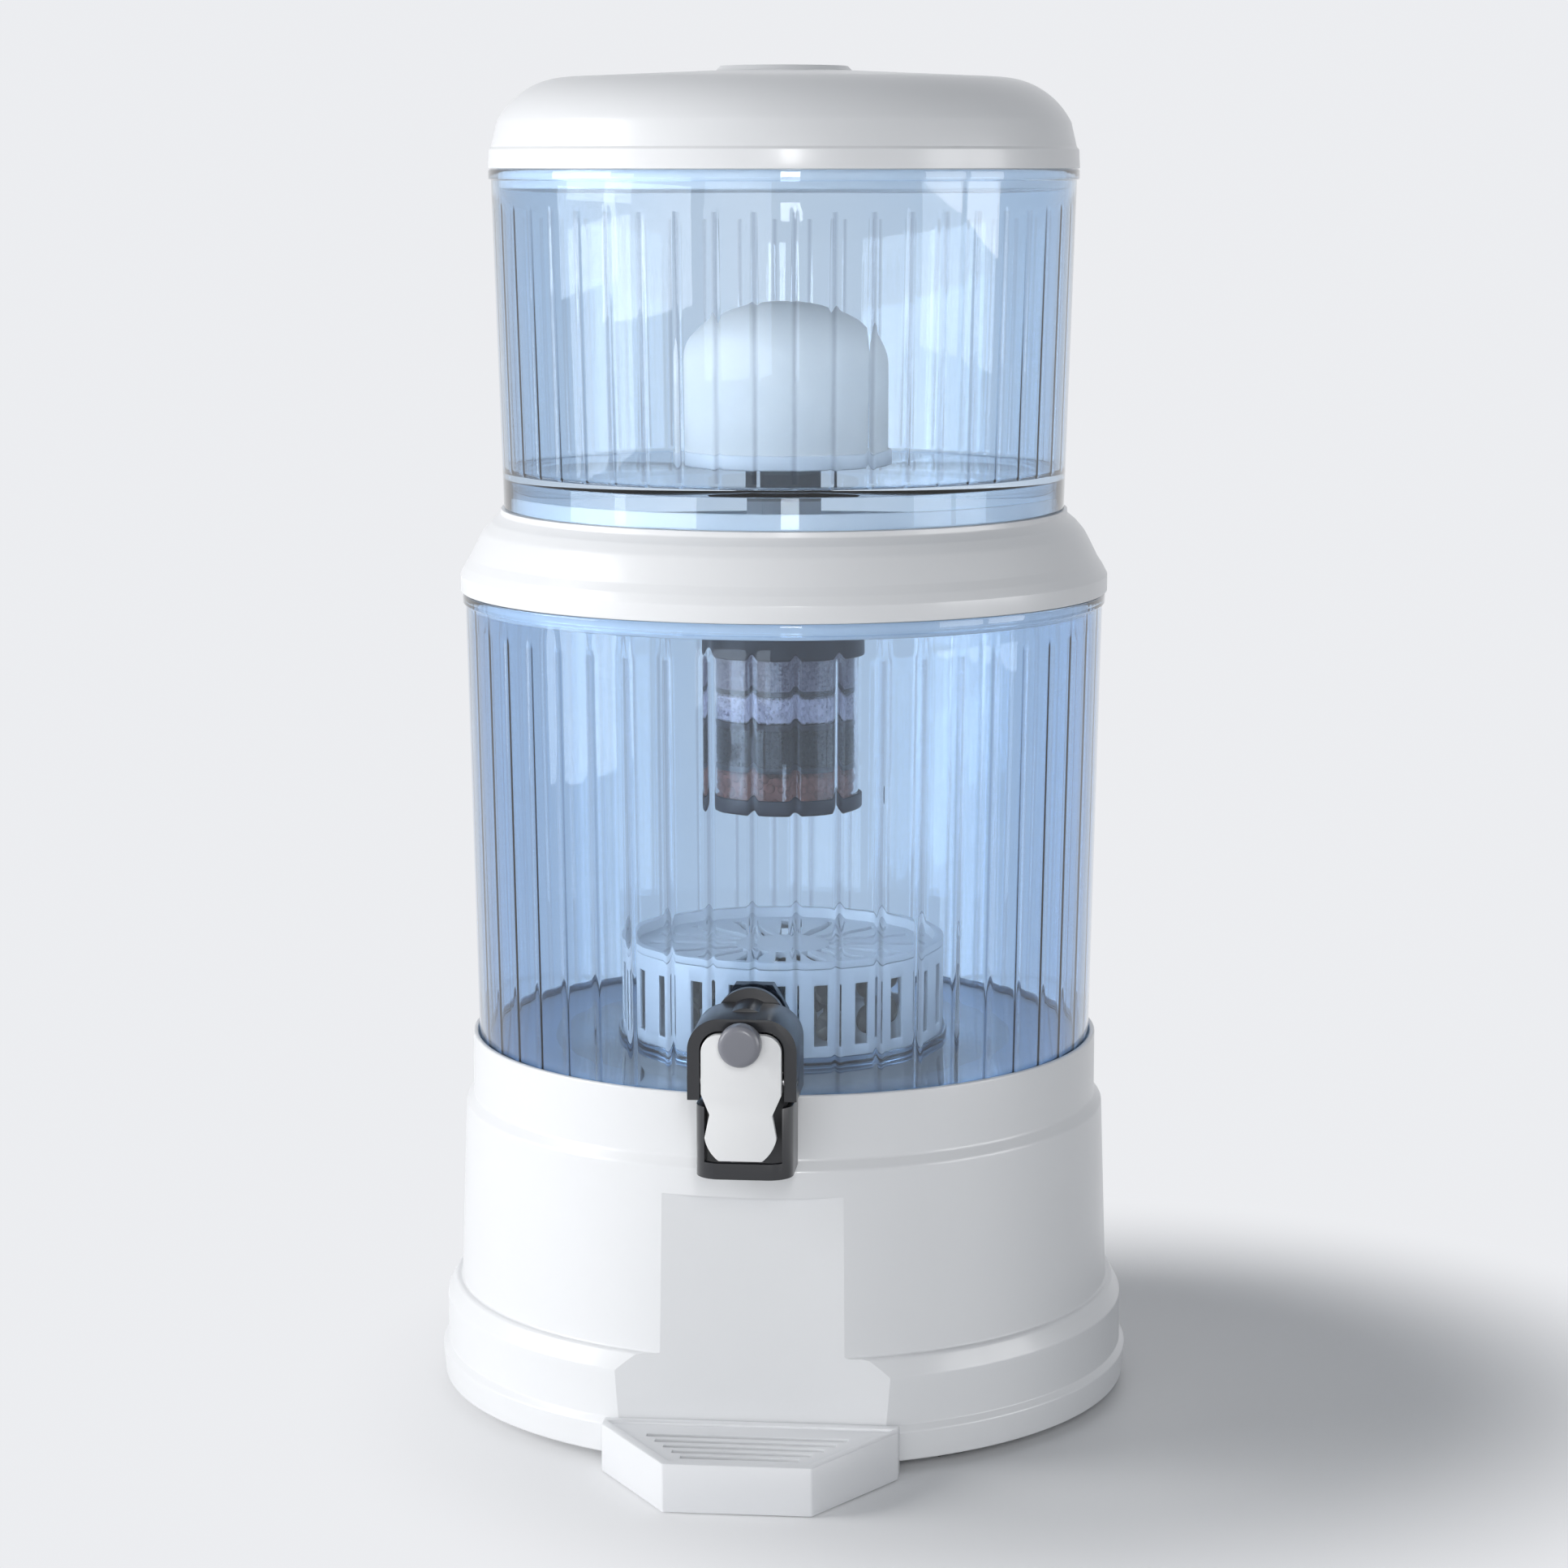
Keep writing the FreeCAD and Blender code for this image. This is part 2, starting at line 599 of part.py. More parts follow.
def make_stand_shell():
    """White moulded stand: collar, deck, drum, foot flange and the flat panel behind the tray."""
    form = flat_sided("stand_form", [
        ("skirt_radius", "foot_height"), ("bulge_radius", "bulge_height"),
        ("flange_radius", "flange_step"), ("flange_radius", "flange_top - flange_bevel"),
        ("flange_radius - flange_bevel_depth", "flange_top"), ("drum_foot_radius", "flange_top"),
        ("drum_top_radius", "drum_top"), ("collar_radius", "collar_base"),
        ("collar_radius", "collar_top")], "round_sides")
    faced = cut_from("stand_faced", form, panel_block("panel_face", "0", "panel_top"))
    flange, drum = "flange_radius - stand_wall", "drum_top_radius - stand_wall"
    collar = "collar_radius - stand_wall"
    space = flat_sided("stand_space", [
        ("web_inner", "0"), ("web_inner", "foot_height + stand_wall"),
        (flange, "foot_height + stand_wall"), (flange, "flange_top - flange_bevel"),
        (drum, "flange_top - stand_wall"), (drum, "drum_top - stand_wall"),
        (collar, "collar_base - stand_wall"), (collar, "deck_under"), ("deck_hole", "deck_under"),
        ("deck_hole", "deck_height"), ("collar_bore", "deck_height"),
        ("collar_bore", "collar_top + 1")], "round_sides")
    hollow = cut_from("stand_hollow", space,
                      panel_block("panel_wall", "stand_wall", "panel_top + stand_wall"))
    slot = doc.addObject("Part::Box", "tongue_slot")
    bind(slot, "Length", "2 * (tongue_half + slip_gap)")
    bind(slot, "Width", "4 * stand_wall")
    bind(slot, "Height", "tongue_thickness + 2 * seat_gap")
    bind(slot, "Placement.Base.x", "-tongue_half - slip_gap")
    bind(slot, "Placement.Base.y", "-panel_foot_depth - stand_wall")
    bind(slot, "Placement.Base.z", "tongue_base - seat_gap")
    keep(cut_from("stand_shell", faced, fuse("stand_tools", [hollow, slot])))


def tray_half_width(inset, level):
    """Half the tray's width between its slanted corners, at a place along the depth."""
    slope = "(tray_half - tray_front_half) / tray_chamfer"
    front = f"tray_front_half - {inset} * (tray_slant / tray_chamfer - {slope})"
    return f"({front} + ({level} + tray_front - {inset}) * {slope})"


def tray_opening(inset):
    """Outline of the tray's inside, inset from its front, slanted and rear sides."""
    back, front = f"(-tray_back - {inset})", f"(-tray_front + {inset})"
    return mirrored([(tray_half_width(inset, back), back), (tray_half_width(inset, front), front)])


def make_drip_tray():
    """White tray with a well, a ledge for the grille and a tongue that slips under the panel."""
    body = new_body("drip_tray")
    plan = new_sketch(body, "tray_plan", "XY_Plane", "tray_base")
    draw_loop(plan, mirrored([("tray_half", "-tray_back"),
                              ("tray_half", "-tray_front + tray_chamfer"),
                              ("tray_front_half", "-tray_front")]))
    pad(body, "tray_block", plan, "tray_height")
    tongue = new_sketch(body, "tongue_plan", "XY_Plane", "tongue_base")
    draw_loop(tongue, mirrored([("tongue_half", "-panel_foot_depth + tongue_length"),
                                ("tongue_half", "-tray_back - 1")]))
    pad(body, "tongue", tongue, "tongue_thickness")
    recess = new_sketch(body, "recess_plan", "XY_Plane", "tray_top")
    draw_loop(recess, tray_opening("tray_rim"))
    pocket(body, "recess", recess, "ledge_depth")
    well = new_sketch(body, "well_plan", "XY_Plane", "tray_top")
    draw_loop(well, tray_opening("(tray_rim + ledge_width)"))
    pocket(body, "well", well, "tray_height - tray_floor")
    keep(body)


def make_drip_grille():
    """Loose slotted plate that lies on the tray's ledge."""
    body = new_body("drip_grille")
    base = "tray_top - ledge_depth + 0.2"
    edge = "(tray_rim + slip_gap)"
    plan = new_sketch(body, "grille_plan", "XY_Plane", base)
    draw_loop(plan, tray_opening(edge))
    pad(body, "grille_plate", plan, "grille_thickness")
    slots = new_sketch(body, "grille_slots", "XY_Plane", base)
    border = "(tray_rim + slip_gap + grille_border)"
    room = value(f"tray_front - tray_back - 2 * {border}")
    rows = int((room - value("grille_slot")) / value("grille_pitch")) + 1
    for row in range(rows):
        low = f"(-tray_front + {border} + {row} * grille_pitch)"
        half = tray_half_width(border, low)
        draw_loop(slots, mirrored([(half, f"{low} + grille_slot"), (half, low)]))
    pocket(body, "slots", slots)
    keep(body)


def tank_form(kind, wall):
    """A fluted tank: tapered wall with a rim, and a floor with all below it still solid."""
    base, floor_top = f"{kind}_base", f"{kind}_floor_top"
    rim_base = f"{kind}_rim_base"
    outside = [(f"{kind}_foot_radius", base), (wall(rim_base), rim_base),
               (f"{kind}_rim_radius", rim_base), (f"{kind}_rim_radius", f"{kind}_top")]
    inside = [(f"{wall(floor_top)} - tank_wall", floor_top),
              (f"{kind}_mouth_radius - tank_wall", f"{kind}_top"),
              (f"{kind}_mouth_radius - tank_wall", f"{kind}_top + 1")]
    return turned(f"{kind}_form", outside, inside)


def make_lower_tank():
    """Clear blue tank with a flat seat for the tap and a locating ring for the stone case."""
    form = tank_form("lower", lower_wall)
    seat = on_tap(cylinder("tap_seat", "tap_seat_radius", "0", "tap_seat_out - tap_seat_in"),
                  "tap_seat_in")
    inner = "case_radius + 2 * slip_gap"
    low, height = "lower_floor_top - 0.5", "locating_ring + 0.5"
    locating = cut_from("locating", prism("locating_block", "round_sides", f"{inner} + 2", low, height),
                        prism("locating_hole", "round_sides", inner, low, height))
    hole = on_tap(cylinder("shank_hole_tool", "shank_hole", "0", "tap_seat_out"), "shank_end")
    keep(cut_from("lower_tank", fuse("lower_parts", [form, seat, locating]), hole))


def make_upper_tank():
    """Clear blue tank on a skirt, with the hole for the stem of the ceramic dome in its floor."""
    form = tank_form("upper", upper_wall)
    hole = cylinder("stem_hole_tool", "stem_hole", "upper_base", "upper_height")
    skirt = prism("upper_skirt_inside", "round_sides", "upper_foot_radius - tank_wall",
                  "upper_base - 1", "upper_skirt + 1")
    keep(cut_from("upper_tank", form, fuse("upper_tools", [skirt, hole])))


def make_middle_cover():
    """White shoulder between the tanks, with a ring into each of them and a wide hole."""
    band_top = "cover_base + cover_band"
    neck_low = "cover_top - cover_wall"
    spigot = slip_radius(lower_wall("(lower_top - cover_spigot)"))
    ring_out = slip_radius("upper_foot_radius")
    foot, ring_top = "cover_base - cover_spigot", "cover_top + cover_ring"
    outside = [
        (spigot, foot), (spigot, "cover_base"), ("cover_radius", "cover_base"),
        ("cover_radius", band_top), ("shoulder_low_radius", "cover_base + shoulder_low"),
        ("shoulder_high_radius", "cover_base + shoulder_high"), ("cover_neck", neck_low),
        ("cover_neck", "cover_top"), (ring_out, "cover_top"), (ring_out, ring_top),
    ]
    inside = [
        (f"{spigot} - cover_wall", f"{foot} - 1"), (f"{spigot} - cover_wall", band_top),
        ("cover_neck - cover_wall - 1", neck_low), ("cover_hole", neck_low),
        ("cover_hole", "cover_top"), (f"{ring_out} - cover_wall", "cover_top"),
        (f"{ring_out} - cover_wall", f"{ring_top} + 1"),
    ]
    keep(turned("middle_cover", outside, inside, form=plane_faced))


def make_lid():
    """White domed lid with a band at its edge, a raised disc on top and a ring into the tank."""
    centre = ("lid_crown_radius", "(lid_base + lid_crown_edge - lid_round)")
    inner = "(lid_round - lid_wall)"
    outside = [
        ("spigot_radius", "lid_base - lid_spigot"), ("spigot_radius", "lid_base"),
        ("lid_radius", "lid_base"), ("lid_radius - lid_band_step / 2", "lid_base + lid_band"),
        ("lid_radius - 1.5 * lid_band_step", "lid_base + lid_band + lid_band_step"),
        *bend(*centre, "lid_round", "lid_round", "lid_round_start", "90", 4),
        ("disc_radius", "lid_crown"), ("disc_radius", "lid_crown + disc_height"),
    ]
    inside = [
        ("spigot_radius - lid_wall", "lid_base - lid_spigot - 1"),
        ("spigot_radius - lid_wall", "lid_base"),
        *bend(*centre, inner, inner, "lid_round_start", "90", 2),
    ]
    keep(turned("lid", outside, inside, form=plane_faced))


def make_ceramic_dome():
    """Hollow ceramic dome that the water seeps through."""
    up = "ceramic_shoulder"
    inner, inner_rise = "(ceramic_radius - ceramic_wall)", "(ceramic_crown - ceramic_wall)"
    outside = [("ceramic_radius", "plate_top"),
               *bend("0", up, "ceramic_radius", "ceramic_crown", "0", "80", 4)]
    inside = [(inner, "plate_top - 1"), *bend("0", up, inner, inner_rise, "0", "75", 2)]
    keep(turned("ceramic_dome", outside, inside, "plain_sides", plane_faced))


def make_dome_base():
    """White plate that holds the ceramic, with the threaded stem that goes through the floor."""
    bore = "ceramic_radius + fit_gap"
    low, rim_top = "plate_base - stem_length", "plate_top + plate_rim"
    outside = [("stem_radius", low), ("stem_radius", "plate_base"),
               (f"{bore} + plate_rim_wall", "plate_base"), (f"{bore} + plate_rim_wall", rim_top)]
    inside = [("stem_bore", f"{low} - 1"), ("stem_bore", "plate_top"), (bore, "plate_top"),
              (bore, f"{rim_top} + 1")]
    keep(turned("dome_base", outside, inside, "plain_sides"))


def hexagon_nut(name, radius, bore, bottom, height):
    """A six-sided nut on the vertical axis. Its hole stays clear of a round piece inside."""
    block = prism(f"{name}_block", "6", radius, bottom, height)
    clear = f"({bore}) / cos(180 / plain_sides)"
    hole = prism(f"{name}_bore", "plain_sides", clear, f"{bottom} - 1", f"{height} + 2")
    return keep(cut_from(name, block, hole))


def make_cartridge():
    """Cartridge under the upper tank: two dark caps, a clear tube, media layers and pads."""
    thread = "stem_radius + 2 * fit_gap"
    sleeve = "shell_radius + fit_gap"
    ceiling = "cap_top - cap_wall"
    keep(turned("cartridge_cap", [
        ("cap_radius", "cap_base"), ("cap_radius", "cap_top"), ("cap_boss_radius", "cap_top"),
        ("cap_boss_radius", "boss_top")], [
        (sleeve, "cap_base - 1"), (sleeve, ceiling), (thread, ceiling), (thread, "boss_top + 1")],
        "plain_sides"))
    plain_ring("cartridge_shell", "media_radius + fit_gap", "shell_radius",
               "balls_base", "cap_base + shell_overlap")
    plain_disc("sand_layer", "media_radius", "sand_base", "cap_base")
    plain_disc("zeolite_layer", "media_radius", "zeolite_base", "zeolite_base + zeolite_depth")
    plain_disc("carbon_layer", "media_radius", "carbon_base", "carbon_base + carbon_depth")
    plain_disc("ceramic_ball_layer", "media_radius", "balls_base", "balls_base + balls_depth")
    low, lip = "balls_base - cup_floor", "balls_base + cup_lip"
    keep(turned("cartridge_base", [("cup_radius", low), ("cup_radius", lip)], [
        ("cup_outlet", f"{low} - 1"), ("cup_outlet", "balls_base"), (sleeve, "balls_base"),
        (sleeve, f"{lip} + 1")], "plain_sides"))


def make_cartridge_pads():
    """Four separator pads, each between two layers or on top of the uppermost."""
    pads = doc.addObject("Part::Compound", "cartridge_pads")
    pads.Label = "cartridge_pads"
    discs = []
    for number, under in enumerate(("carbon_base - pad_depth", "zeolite_base - pad_depth",
                                    "sand_base - pad_depth", "cap_base")):
        discs.append(prism(f"pad_{number}", "plain_sides", "media_radius", under, "pad_depth"))
    pads.Links = discs
    keep(pads)


def cross_bars(name, count, width, reach, bottom, height):
    """Bars through the vertical axis, evenly turned and centred on the flat sides."""
    bars = []
    for number in range(int(value(count)) // 2):
        bar = doc.addObject("Part::Box", f"{name}_{number}")
        bind(bar, "Length", f"2 * ({reach})")
        bind(bar, "Width", width)
        bind(bar, "Height", height)
        angle = 180 / round(value("round_sides")) + 360 / value(count) * number
        turn = FreeCAD.Rotation(FreeCAD.Vector(0, 0, 1), angle)
        corner = turn.multVec(FreeCAD.Vector(-value(reach), -value(width) / 2, value(bottom)))
        bar.Placement = FreeCAD.Placement(corner, turn)
        bars.append(bar)
    return fuse(name, bars)


def make_stone_case():
    """White slotted drum on the tank's floor, with its lid."""
    inner = "case_radius - case_wall"
    drum = turned("case_drum", [("case_radius", "case_base"), ("case_radius", "case_top")],
                  [(inner, "case_base + case_wall"), (inner, "case_top + 1")])
    slots = cross_bars("case_slot_bars", "case_slots", "case_slot", "case_radius + 1",
                       "case_base + case_border", "case_height - 2 * case_border")
    keep(cut_from("stone_case", drum, slots))

    plug, ring_in = f"{inner} - slip_gap", "case_radius - case_lid_ring"
    top, low = "case_lid_base + case_lid_rim", "case_lid_base - case_lid_plug"
    recess = f"{top} - case_lid_recess"
    plate = turned("case_lid_plate", [(plug, low), (plug, "case_lid_base"),
                                      ("case_radius", "case_lid_base"), ("case_radius", top)],
                   [(ring_in, recess), (ring_in, f"{top} + 1")])
    bars = cross_bars("lid_slot_bars", "case_lid_slots", "case_lid_slot", "case_radius * 0.84",
                      f"{low} - 1", "case_height")
    hub = prism("lid_hub", "plain_sides", "case_radius * 0.3", f"{low} - 1", "case_height")
    keep(cut_from("stone_case_lid", plate, cut_from("lid_slots", bars, hub)))


def stone(size, height):
    """One rough stone: a block that narrows to its top."""
    foot, top = size / 1.5, size / 2.4
    block = Part.makeWedge(-foot, 0, -foot, -top, -top, foot, height, foot, top, top)
    block.rotate(FreeCAD.Vector(0, 0, 0), FreeCAD.Vector(1, 0, 0), 90)
    return block


def make_mineral_stones():
    """Two layers of stones in the case, laid in rings of six and twelve around the middle one."""
    size, height = value("stone_radius"), value("stone_height")
    spacing, gap = value("stone_spacing"), value("seat_gap")
    base = value("case_base + case_wall")
    stones = []
    for layer in range(2):
        for circle, count in ((0, 1), (1, 6), (2, 12)):
            for number in range(count):
                angle = math.tau * number / count
                one = stone(size, height)
                one.rotate(FreeCAD.Vector(0, 0, 0), FreeCAD.Vector(0, 0, 1), 37 * number)
                one.translate(FreeCAD.Vector(circle * spacing * math.cos(angle),
                                             circle * spacing * math.sin(angle),
                                             base + gap + layer * (height + gap)))
                stones.append(one)
    group = doc.addObject("Part::Feature", "mineral_stones")
    group.Label = "mineral_stones"
    group.Shape = Part.makeCompound(stones)
    group.Placement = FreeCAD.Placement()
    keep(group)


def make_tap_body():
    """Charcoal tap body: shank, valve chamber, nozzle, hood around the lever and spout shroud."""
    body = new_body("tap_body")
    corners = [
        ("shank_bore", "shank_end"), ("shank_radius", "shank_end"),
        ("shank_radius", "tap_flange_back"), ("tap_flange_radius", "tap_flange_back"),
        ("tap_flange_radius", "tap_flange_back + tap_flange"),
        ("chamber_radius", "tap_flange_back + tap_flange"), ("chamber_radius", "chamber_end"),
        ("chamber_bore", "chamber_end"), ("chamber_bore", "valve_seat"),
        ("shank_bore", "valve_seat"),
    ]
    revolve(body, "shank_turn", corners)

    plate = new_sketch(body, "plate_outline", "XY_Plane", "hood_back")
    draw_loop(plate, mirrored([("hood_inner_half - hood_round + hood_wall", "hood_inner_top + 1"),
                               ("hood_inner_half + 1", "hood_inner_top - hood_round + hood_wall"),
                               ("hood_inner_half + 1", "-shroud_bottom + 1")]))
    pad(body, "back_plate", plate, "hood_plate")

    hood = new_sketch(body, "hood_outline", "XY_Plane", "hood_back")
    turn_in = "(hood_round - hood_wall)"
    draw_loop(hood, [
        ("hood_half", "-hood_leg"), ("hood_half", "hood_top - hood_round", "hood_round", 1),
        ("hood_half - hood_round", "hood_top"),
        ("-hood_half + hood_round", "hood_top", "hood_round", 1),
        ("-hood_half", "hood_top - hood_round"), ("-hood_half", "-hood_leg"),
        ("-hood_inner_half", "-hood_leg"),
        ("-hood_inner_half", f"hood_inner_top - {turn_in}", turn_in, -1),
        (f"-hood_inner_half + {turn_in}", "hood_inner_top"),
        (f"hood_inner_half - {turn_in}", "hood_inner_top", turn_in, -1),
        ("hood_inner_half", f"hood_inner_top - {turn_in}"), ("hood_inner_half", "-hood_leg"),
    ])
    pad(body, "hood", hood, "hood_front - hood_back")

    shroud = new_sketch(body, "shroud_plan", "XZ_Plane", "shroud_top")
    for inset in ("0", "shroud_wall"):
        side, front = f"shroud_half - {inset}", f"shroud_front - {inset}"
        turn = f"(shroud_round - {inset})"
        back = f"hood_back + {inset}"
        draw_loop(shroud, [
            (side, back), (side, f"{front} - {turn}", turn, 1), (f"{side} - {turn}", front),
            (f"-({side}) + {turn}", front, turn, 1), (f"-({side})", f"{front} - {turn}"),
            (f"-({side})", back),
        ])
    pad(body, "shroud", shroud, "shroud_bottom - shroud_top")

    window = new_sketch(body, "window_outline", "XY_Plane", "(hood_back + shroud_front) / 2")
    draw_loop(window, mirrored([("window_half", "-shroud_top + 1"),
                                ("window_half", "-window_bottom")]))
    pocket(body, "window", window, "shroud_front - hood_back", along_normal=True)

    nozzle = new_sketch(body, "nozzle_plan", "XZ_Plane", "(chamber_bore + chamber_radius) / 2")
    draw_circle(nozzle, "0", "nozzle_out", "nozzle_radius")
    pad(body, "nozzle", nozzle, "nozzle_bottom - (chamber_bore + chamber_radius) / 2")
    bore = new_sketch(body, "nozzle_bore_plan", "XZ_Plane", "chamber_bore / 2")
    draw_circle(bore, "0", "nozzle_out", "nozzle_bore")
    pocket(body, "nozzle_bore", bore, "shroud_bottom", along_normal=True)

    chamber = new_sketch(body, "chamber_outline", "XY_Plane", "valve_seat")
    draw_circle(chamber, "0", "0", "chamber_bore")
    pocket(body, "chamber", chamber, "hood_front", along_normal=True)
    pins = new_sketch(body, "pin_hole_outline", "YZ_Plane")
    draw_circle(pins, "-pivot_drop", "pivot_out", "pin_radius + fit_gap")
    pocket(body, "pin_hole", pins)
    keep(on_tap(body))


def make_tap_lever():
    """White paddle that hangs from the pin, notched at the top around the valve stem."""
    body = new_body("tap_lever")
    front = "lever_back + lever_thickness"
    side = new_sketch(body, "lever_side", "YZ_Plane")
    draw_loop(side, [
        ("lever_top", "lever_back"), ("lever_top", front), ("-lever_bend", front),
        ("-lever_bottom", f"{front} + lever_lean"), ("-lever_bottom", "lever_back + lever_lean + 1"),
        ("-lever_bend", "lever_back"),
    ])
    pad(body, "blade", side, "2 * lever_half", centred=True)
    hub = new_sketch(body, "hub_outline", "YZ_Plane")
    draw_circle(hub, "-pivot_drop", "pivot_out", "hub_radius")
    pad(body, "hub", hub, "2 * lever_half", centred=True)
    web = new_sketch(body, "hub_web", "YZ_Plane")
    draw_loop(web, [("-pivot_drop - hub_radius", "pivot_out"),
                    ("-pivot_drop + hub_radius", "pivot_out"),
                    ("-pivot_drop + hub_radius", "lever_back + 1"),
                    ("-pivot_drop - hub_radius", "lever_back + 1")])
    pad(body, "hub_foot", web, "2 * lever_half", centred=True)

    trim = new_sketch(body, "lever_outline", "XY_Plane")
    outside = "lever_half + 5"
    draw_loop(trim, mirrored([(outside, "lever_top + 5"), (outside, "-lever_bottom - 5")]))
    end_round = "lever_flare_half"
    draw_loop(trim, [
        ("lever_half", "-pivot_drop - hub_radius"),
        ("lever_half", "lever_top - lever_round", "lever_round", 1),
        ("lever_half - lever_round", "lever_top"), ("prong_gap", "lever_top"),
        ("prong_gap", "0", "prong_gap", -1), ("0", "-prong_gap", "prong_gap", -1),
        ("-prong_gap", "0"), ("-prong_gap", "lever_top"),
        ("-lever_half + lever_round", "lever_top", "lever_round", 1),
        ("-lever_half", "lever_top - lever_round"),
        ("-lever_half", "-pivot_drop - hub_radius"), ("-lever_waist_half", "-lever_waist"),
        ("-lever_flare_half", "-lever_flare", end_round, 1),
        ("-lever_flare_half * 0.6", "-lever_bottom"),
        ("lever_flare_half * 0.6", "-lever_bottom", end_round, 1),
        ("lever_flare_half", "-lever_flare"), ("lever_waist_half", "-lever_waist"),
    ])
    pocket(body, "trim", trim)
    bore = new_sketch(body, "hub_bore", "YZ_Plane")
    draw_circle(bore, "-pivot_drop", "pivot_out", "pin_radius + 2 * fit_gap")
    pocket(body, "pin_bore", bore)
    keep(on_tap(body))


def make_tap_pin():
    """Pivot pin of the lever, held in both legs of the hood."""
    pin = doc.addObject("Part::Cylinder", "tap_pin")
    pin.Label = "tap_pin"
    bind(pin, "Radius", "pin_radius")
    bind(pin, "Height", "2 * hood_half - 1")
    pin.Placement = FreeCAD.Placement(FreeCAD.Vector(0, 0, 0), FreeCAD.Vector(0, 1, 0), 90)
    bind(pin, "Placement.Base.x", "0.5 - hood_half")
    bind(pin, "Placement.Base.y", "-pivot_out")
    bind(pin, "Placement.Base.z", "tap_height - pivot_drop")
    keep(pin)


def make_valve():
    """What the lever pulls: knob, valve stem, washer, with the bonnet that guides the stem."""
    hole = "shank_radius + fit_gap"
    on_tap(plain_ring("tap_gasket_outer", hole, "tap_gasket_radius",
                      "tap_seat_out", "tap_flange_back"))
    on_tap(plain_ring("tap_gasket_inner", hole, "tap_gasket_radius",
                      "tap_nut_face", "tap_seat_in"))
    on_tap(plain_disc("tap_washer", "washer_radius", "washer_back", "head_back"), "washer_back")
    on_tap(plain_ring("tap_spring", "spring_radius - spring_wire", "spring_radius",
                      "head_front + seat_gap", "head_front + seat_gap + spring_length"))
    on_tap(hexagon_nut("tap_nut", "tap_nut_radius", hole,
                       "tap_nut_face - tap_nut_height", "tap_nut_height"))

    stem = new_body("tap_stem")
    revolve(stem, "stem_turn", [
        ("0", "head_back"), ("head_radius", "head_back"), ("head_radius", "head_front"),
        ("rod_radius", "head_front"), ("rod_radius", "rod_front"), ("0", "rod_front")])
    keep(on_tap(stem))

    guide = "(rod_radius + 2 * fit_gap) / cos(180 / plain_sides)"
    spigot, nose = "chamber_bore - fit_gap", "chamber_end + bonnet_nose"
    foot = "chamber_end - bonnet_spigot"
    keep(on_tap(turned("tap_bonnet", [
        (spigot, foot), (spigot, "chamber_end"), ("bonnet_radius", "chamber_end"),
        ("bonnet_radius", nose)], [(guide, f"{foot} - 1"), (guide, f"{nose} + 1")], "plain_sides")))

    face = "knob_back + knob_depth"
    socket = "rod_front + fit_gap - knob_back"
    knob = plane_faced("knob_block", [
        ("knob_radius", "knob_back"), ("knob_radius", f"{face} - knob_round"),
        ("knob_radius - knob_round", face)], "plain_sides")
    bore = cylinder("knob_bore", "rod_radius + fit_gap", "knob_back - 1", f"{socket} + 1")
    keep(on_tap(cut_from("tap_knob", knob, bore)))


def check_and_export():
    """Stop if anything failed, then write each piece to its own file."""
    doc.recompute()
    for item in doc.Objects:
        if "Invalid" in item.State or "Error" in item.State:
            raise RuntimeError(f"{item.Name} failed: {item.State}")
        if item.TypeId in ("PartDesign::Pocket", "PartDesign::Groove"):
            if item.Shape.Volume >= item.BaseFeature.Shape.Volume:
                raise RuntimeError(f"{item.Name} cuts nothing")
    os.makedirs("parts", exist_ok=True)
    for piece in pieces:
        shape = piece.Shape
        if shape.isNull() or not shape.isValid() or not shape.Solids:
            raise RuntimeError(f"{piece.Label} has no valid solid")
        shape.exportStep(f"parts/{piece.Label}.step")
        print(f"{piece.Label}: {len(shape.Solids)} solids, {shape.Volume / 1000:.1f} cm3")


def main():
    fill_sheet()
    make_foot_ring()
    make_stand_shell()
    make_drip_tray()
    make_drip_grille()
    make_lower_tank()
    make_middle_cover()
    make_upper_tank()
    make_lid()
    make_ceramic_dome()
    make_dome_base()
    floor_base = "upper_base + upper_skirt"
    hole = "stem_radius + fit_gap"
    plain_ring("stem_gasket_upper", hole, "gasket_radius", "upper_floor_top", "plate_base")
    plain_ring("stem_gasket_lower", hole, "gasket_radius", "lower_gasket_base", floor_base)
    hexagon_nut("stem_nut", "stem_nut_radius", hole, "nut_base", "stem_nut_height")
    make_cartridge()
    make_cartridge_pads()
    make_stone_case()
    make_mineral_stones()
    make_tap_body()
    make_tap_lever()
    make_tap_pin()
    make_valve()
    check_and_export()


main()
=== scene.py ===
# %% [markdown]
# # Dressing a gravity water filter
#
# The CAD model of this water filter has the right sizes and the right moving parts, but its surfaces
# are plain. In this lesson each visible piece gets the finish that the real one has: glossy moulded
# white for the stand, lid and cover, clear blue plastic with upright flutes for the two tanks, fine
# white ceramic for the dome, and grains and balls for the filter media.
#
# We start by loading the frame and counting its nodes.

# %% Load the frame
import math

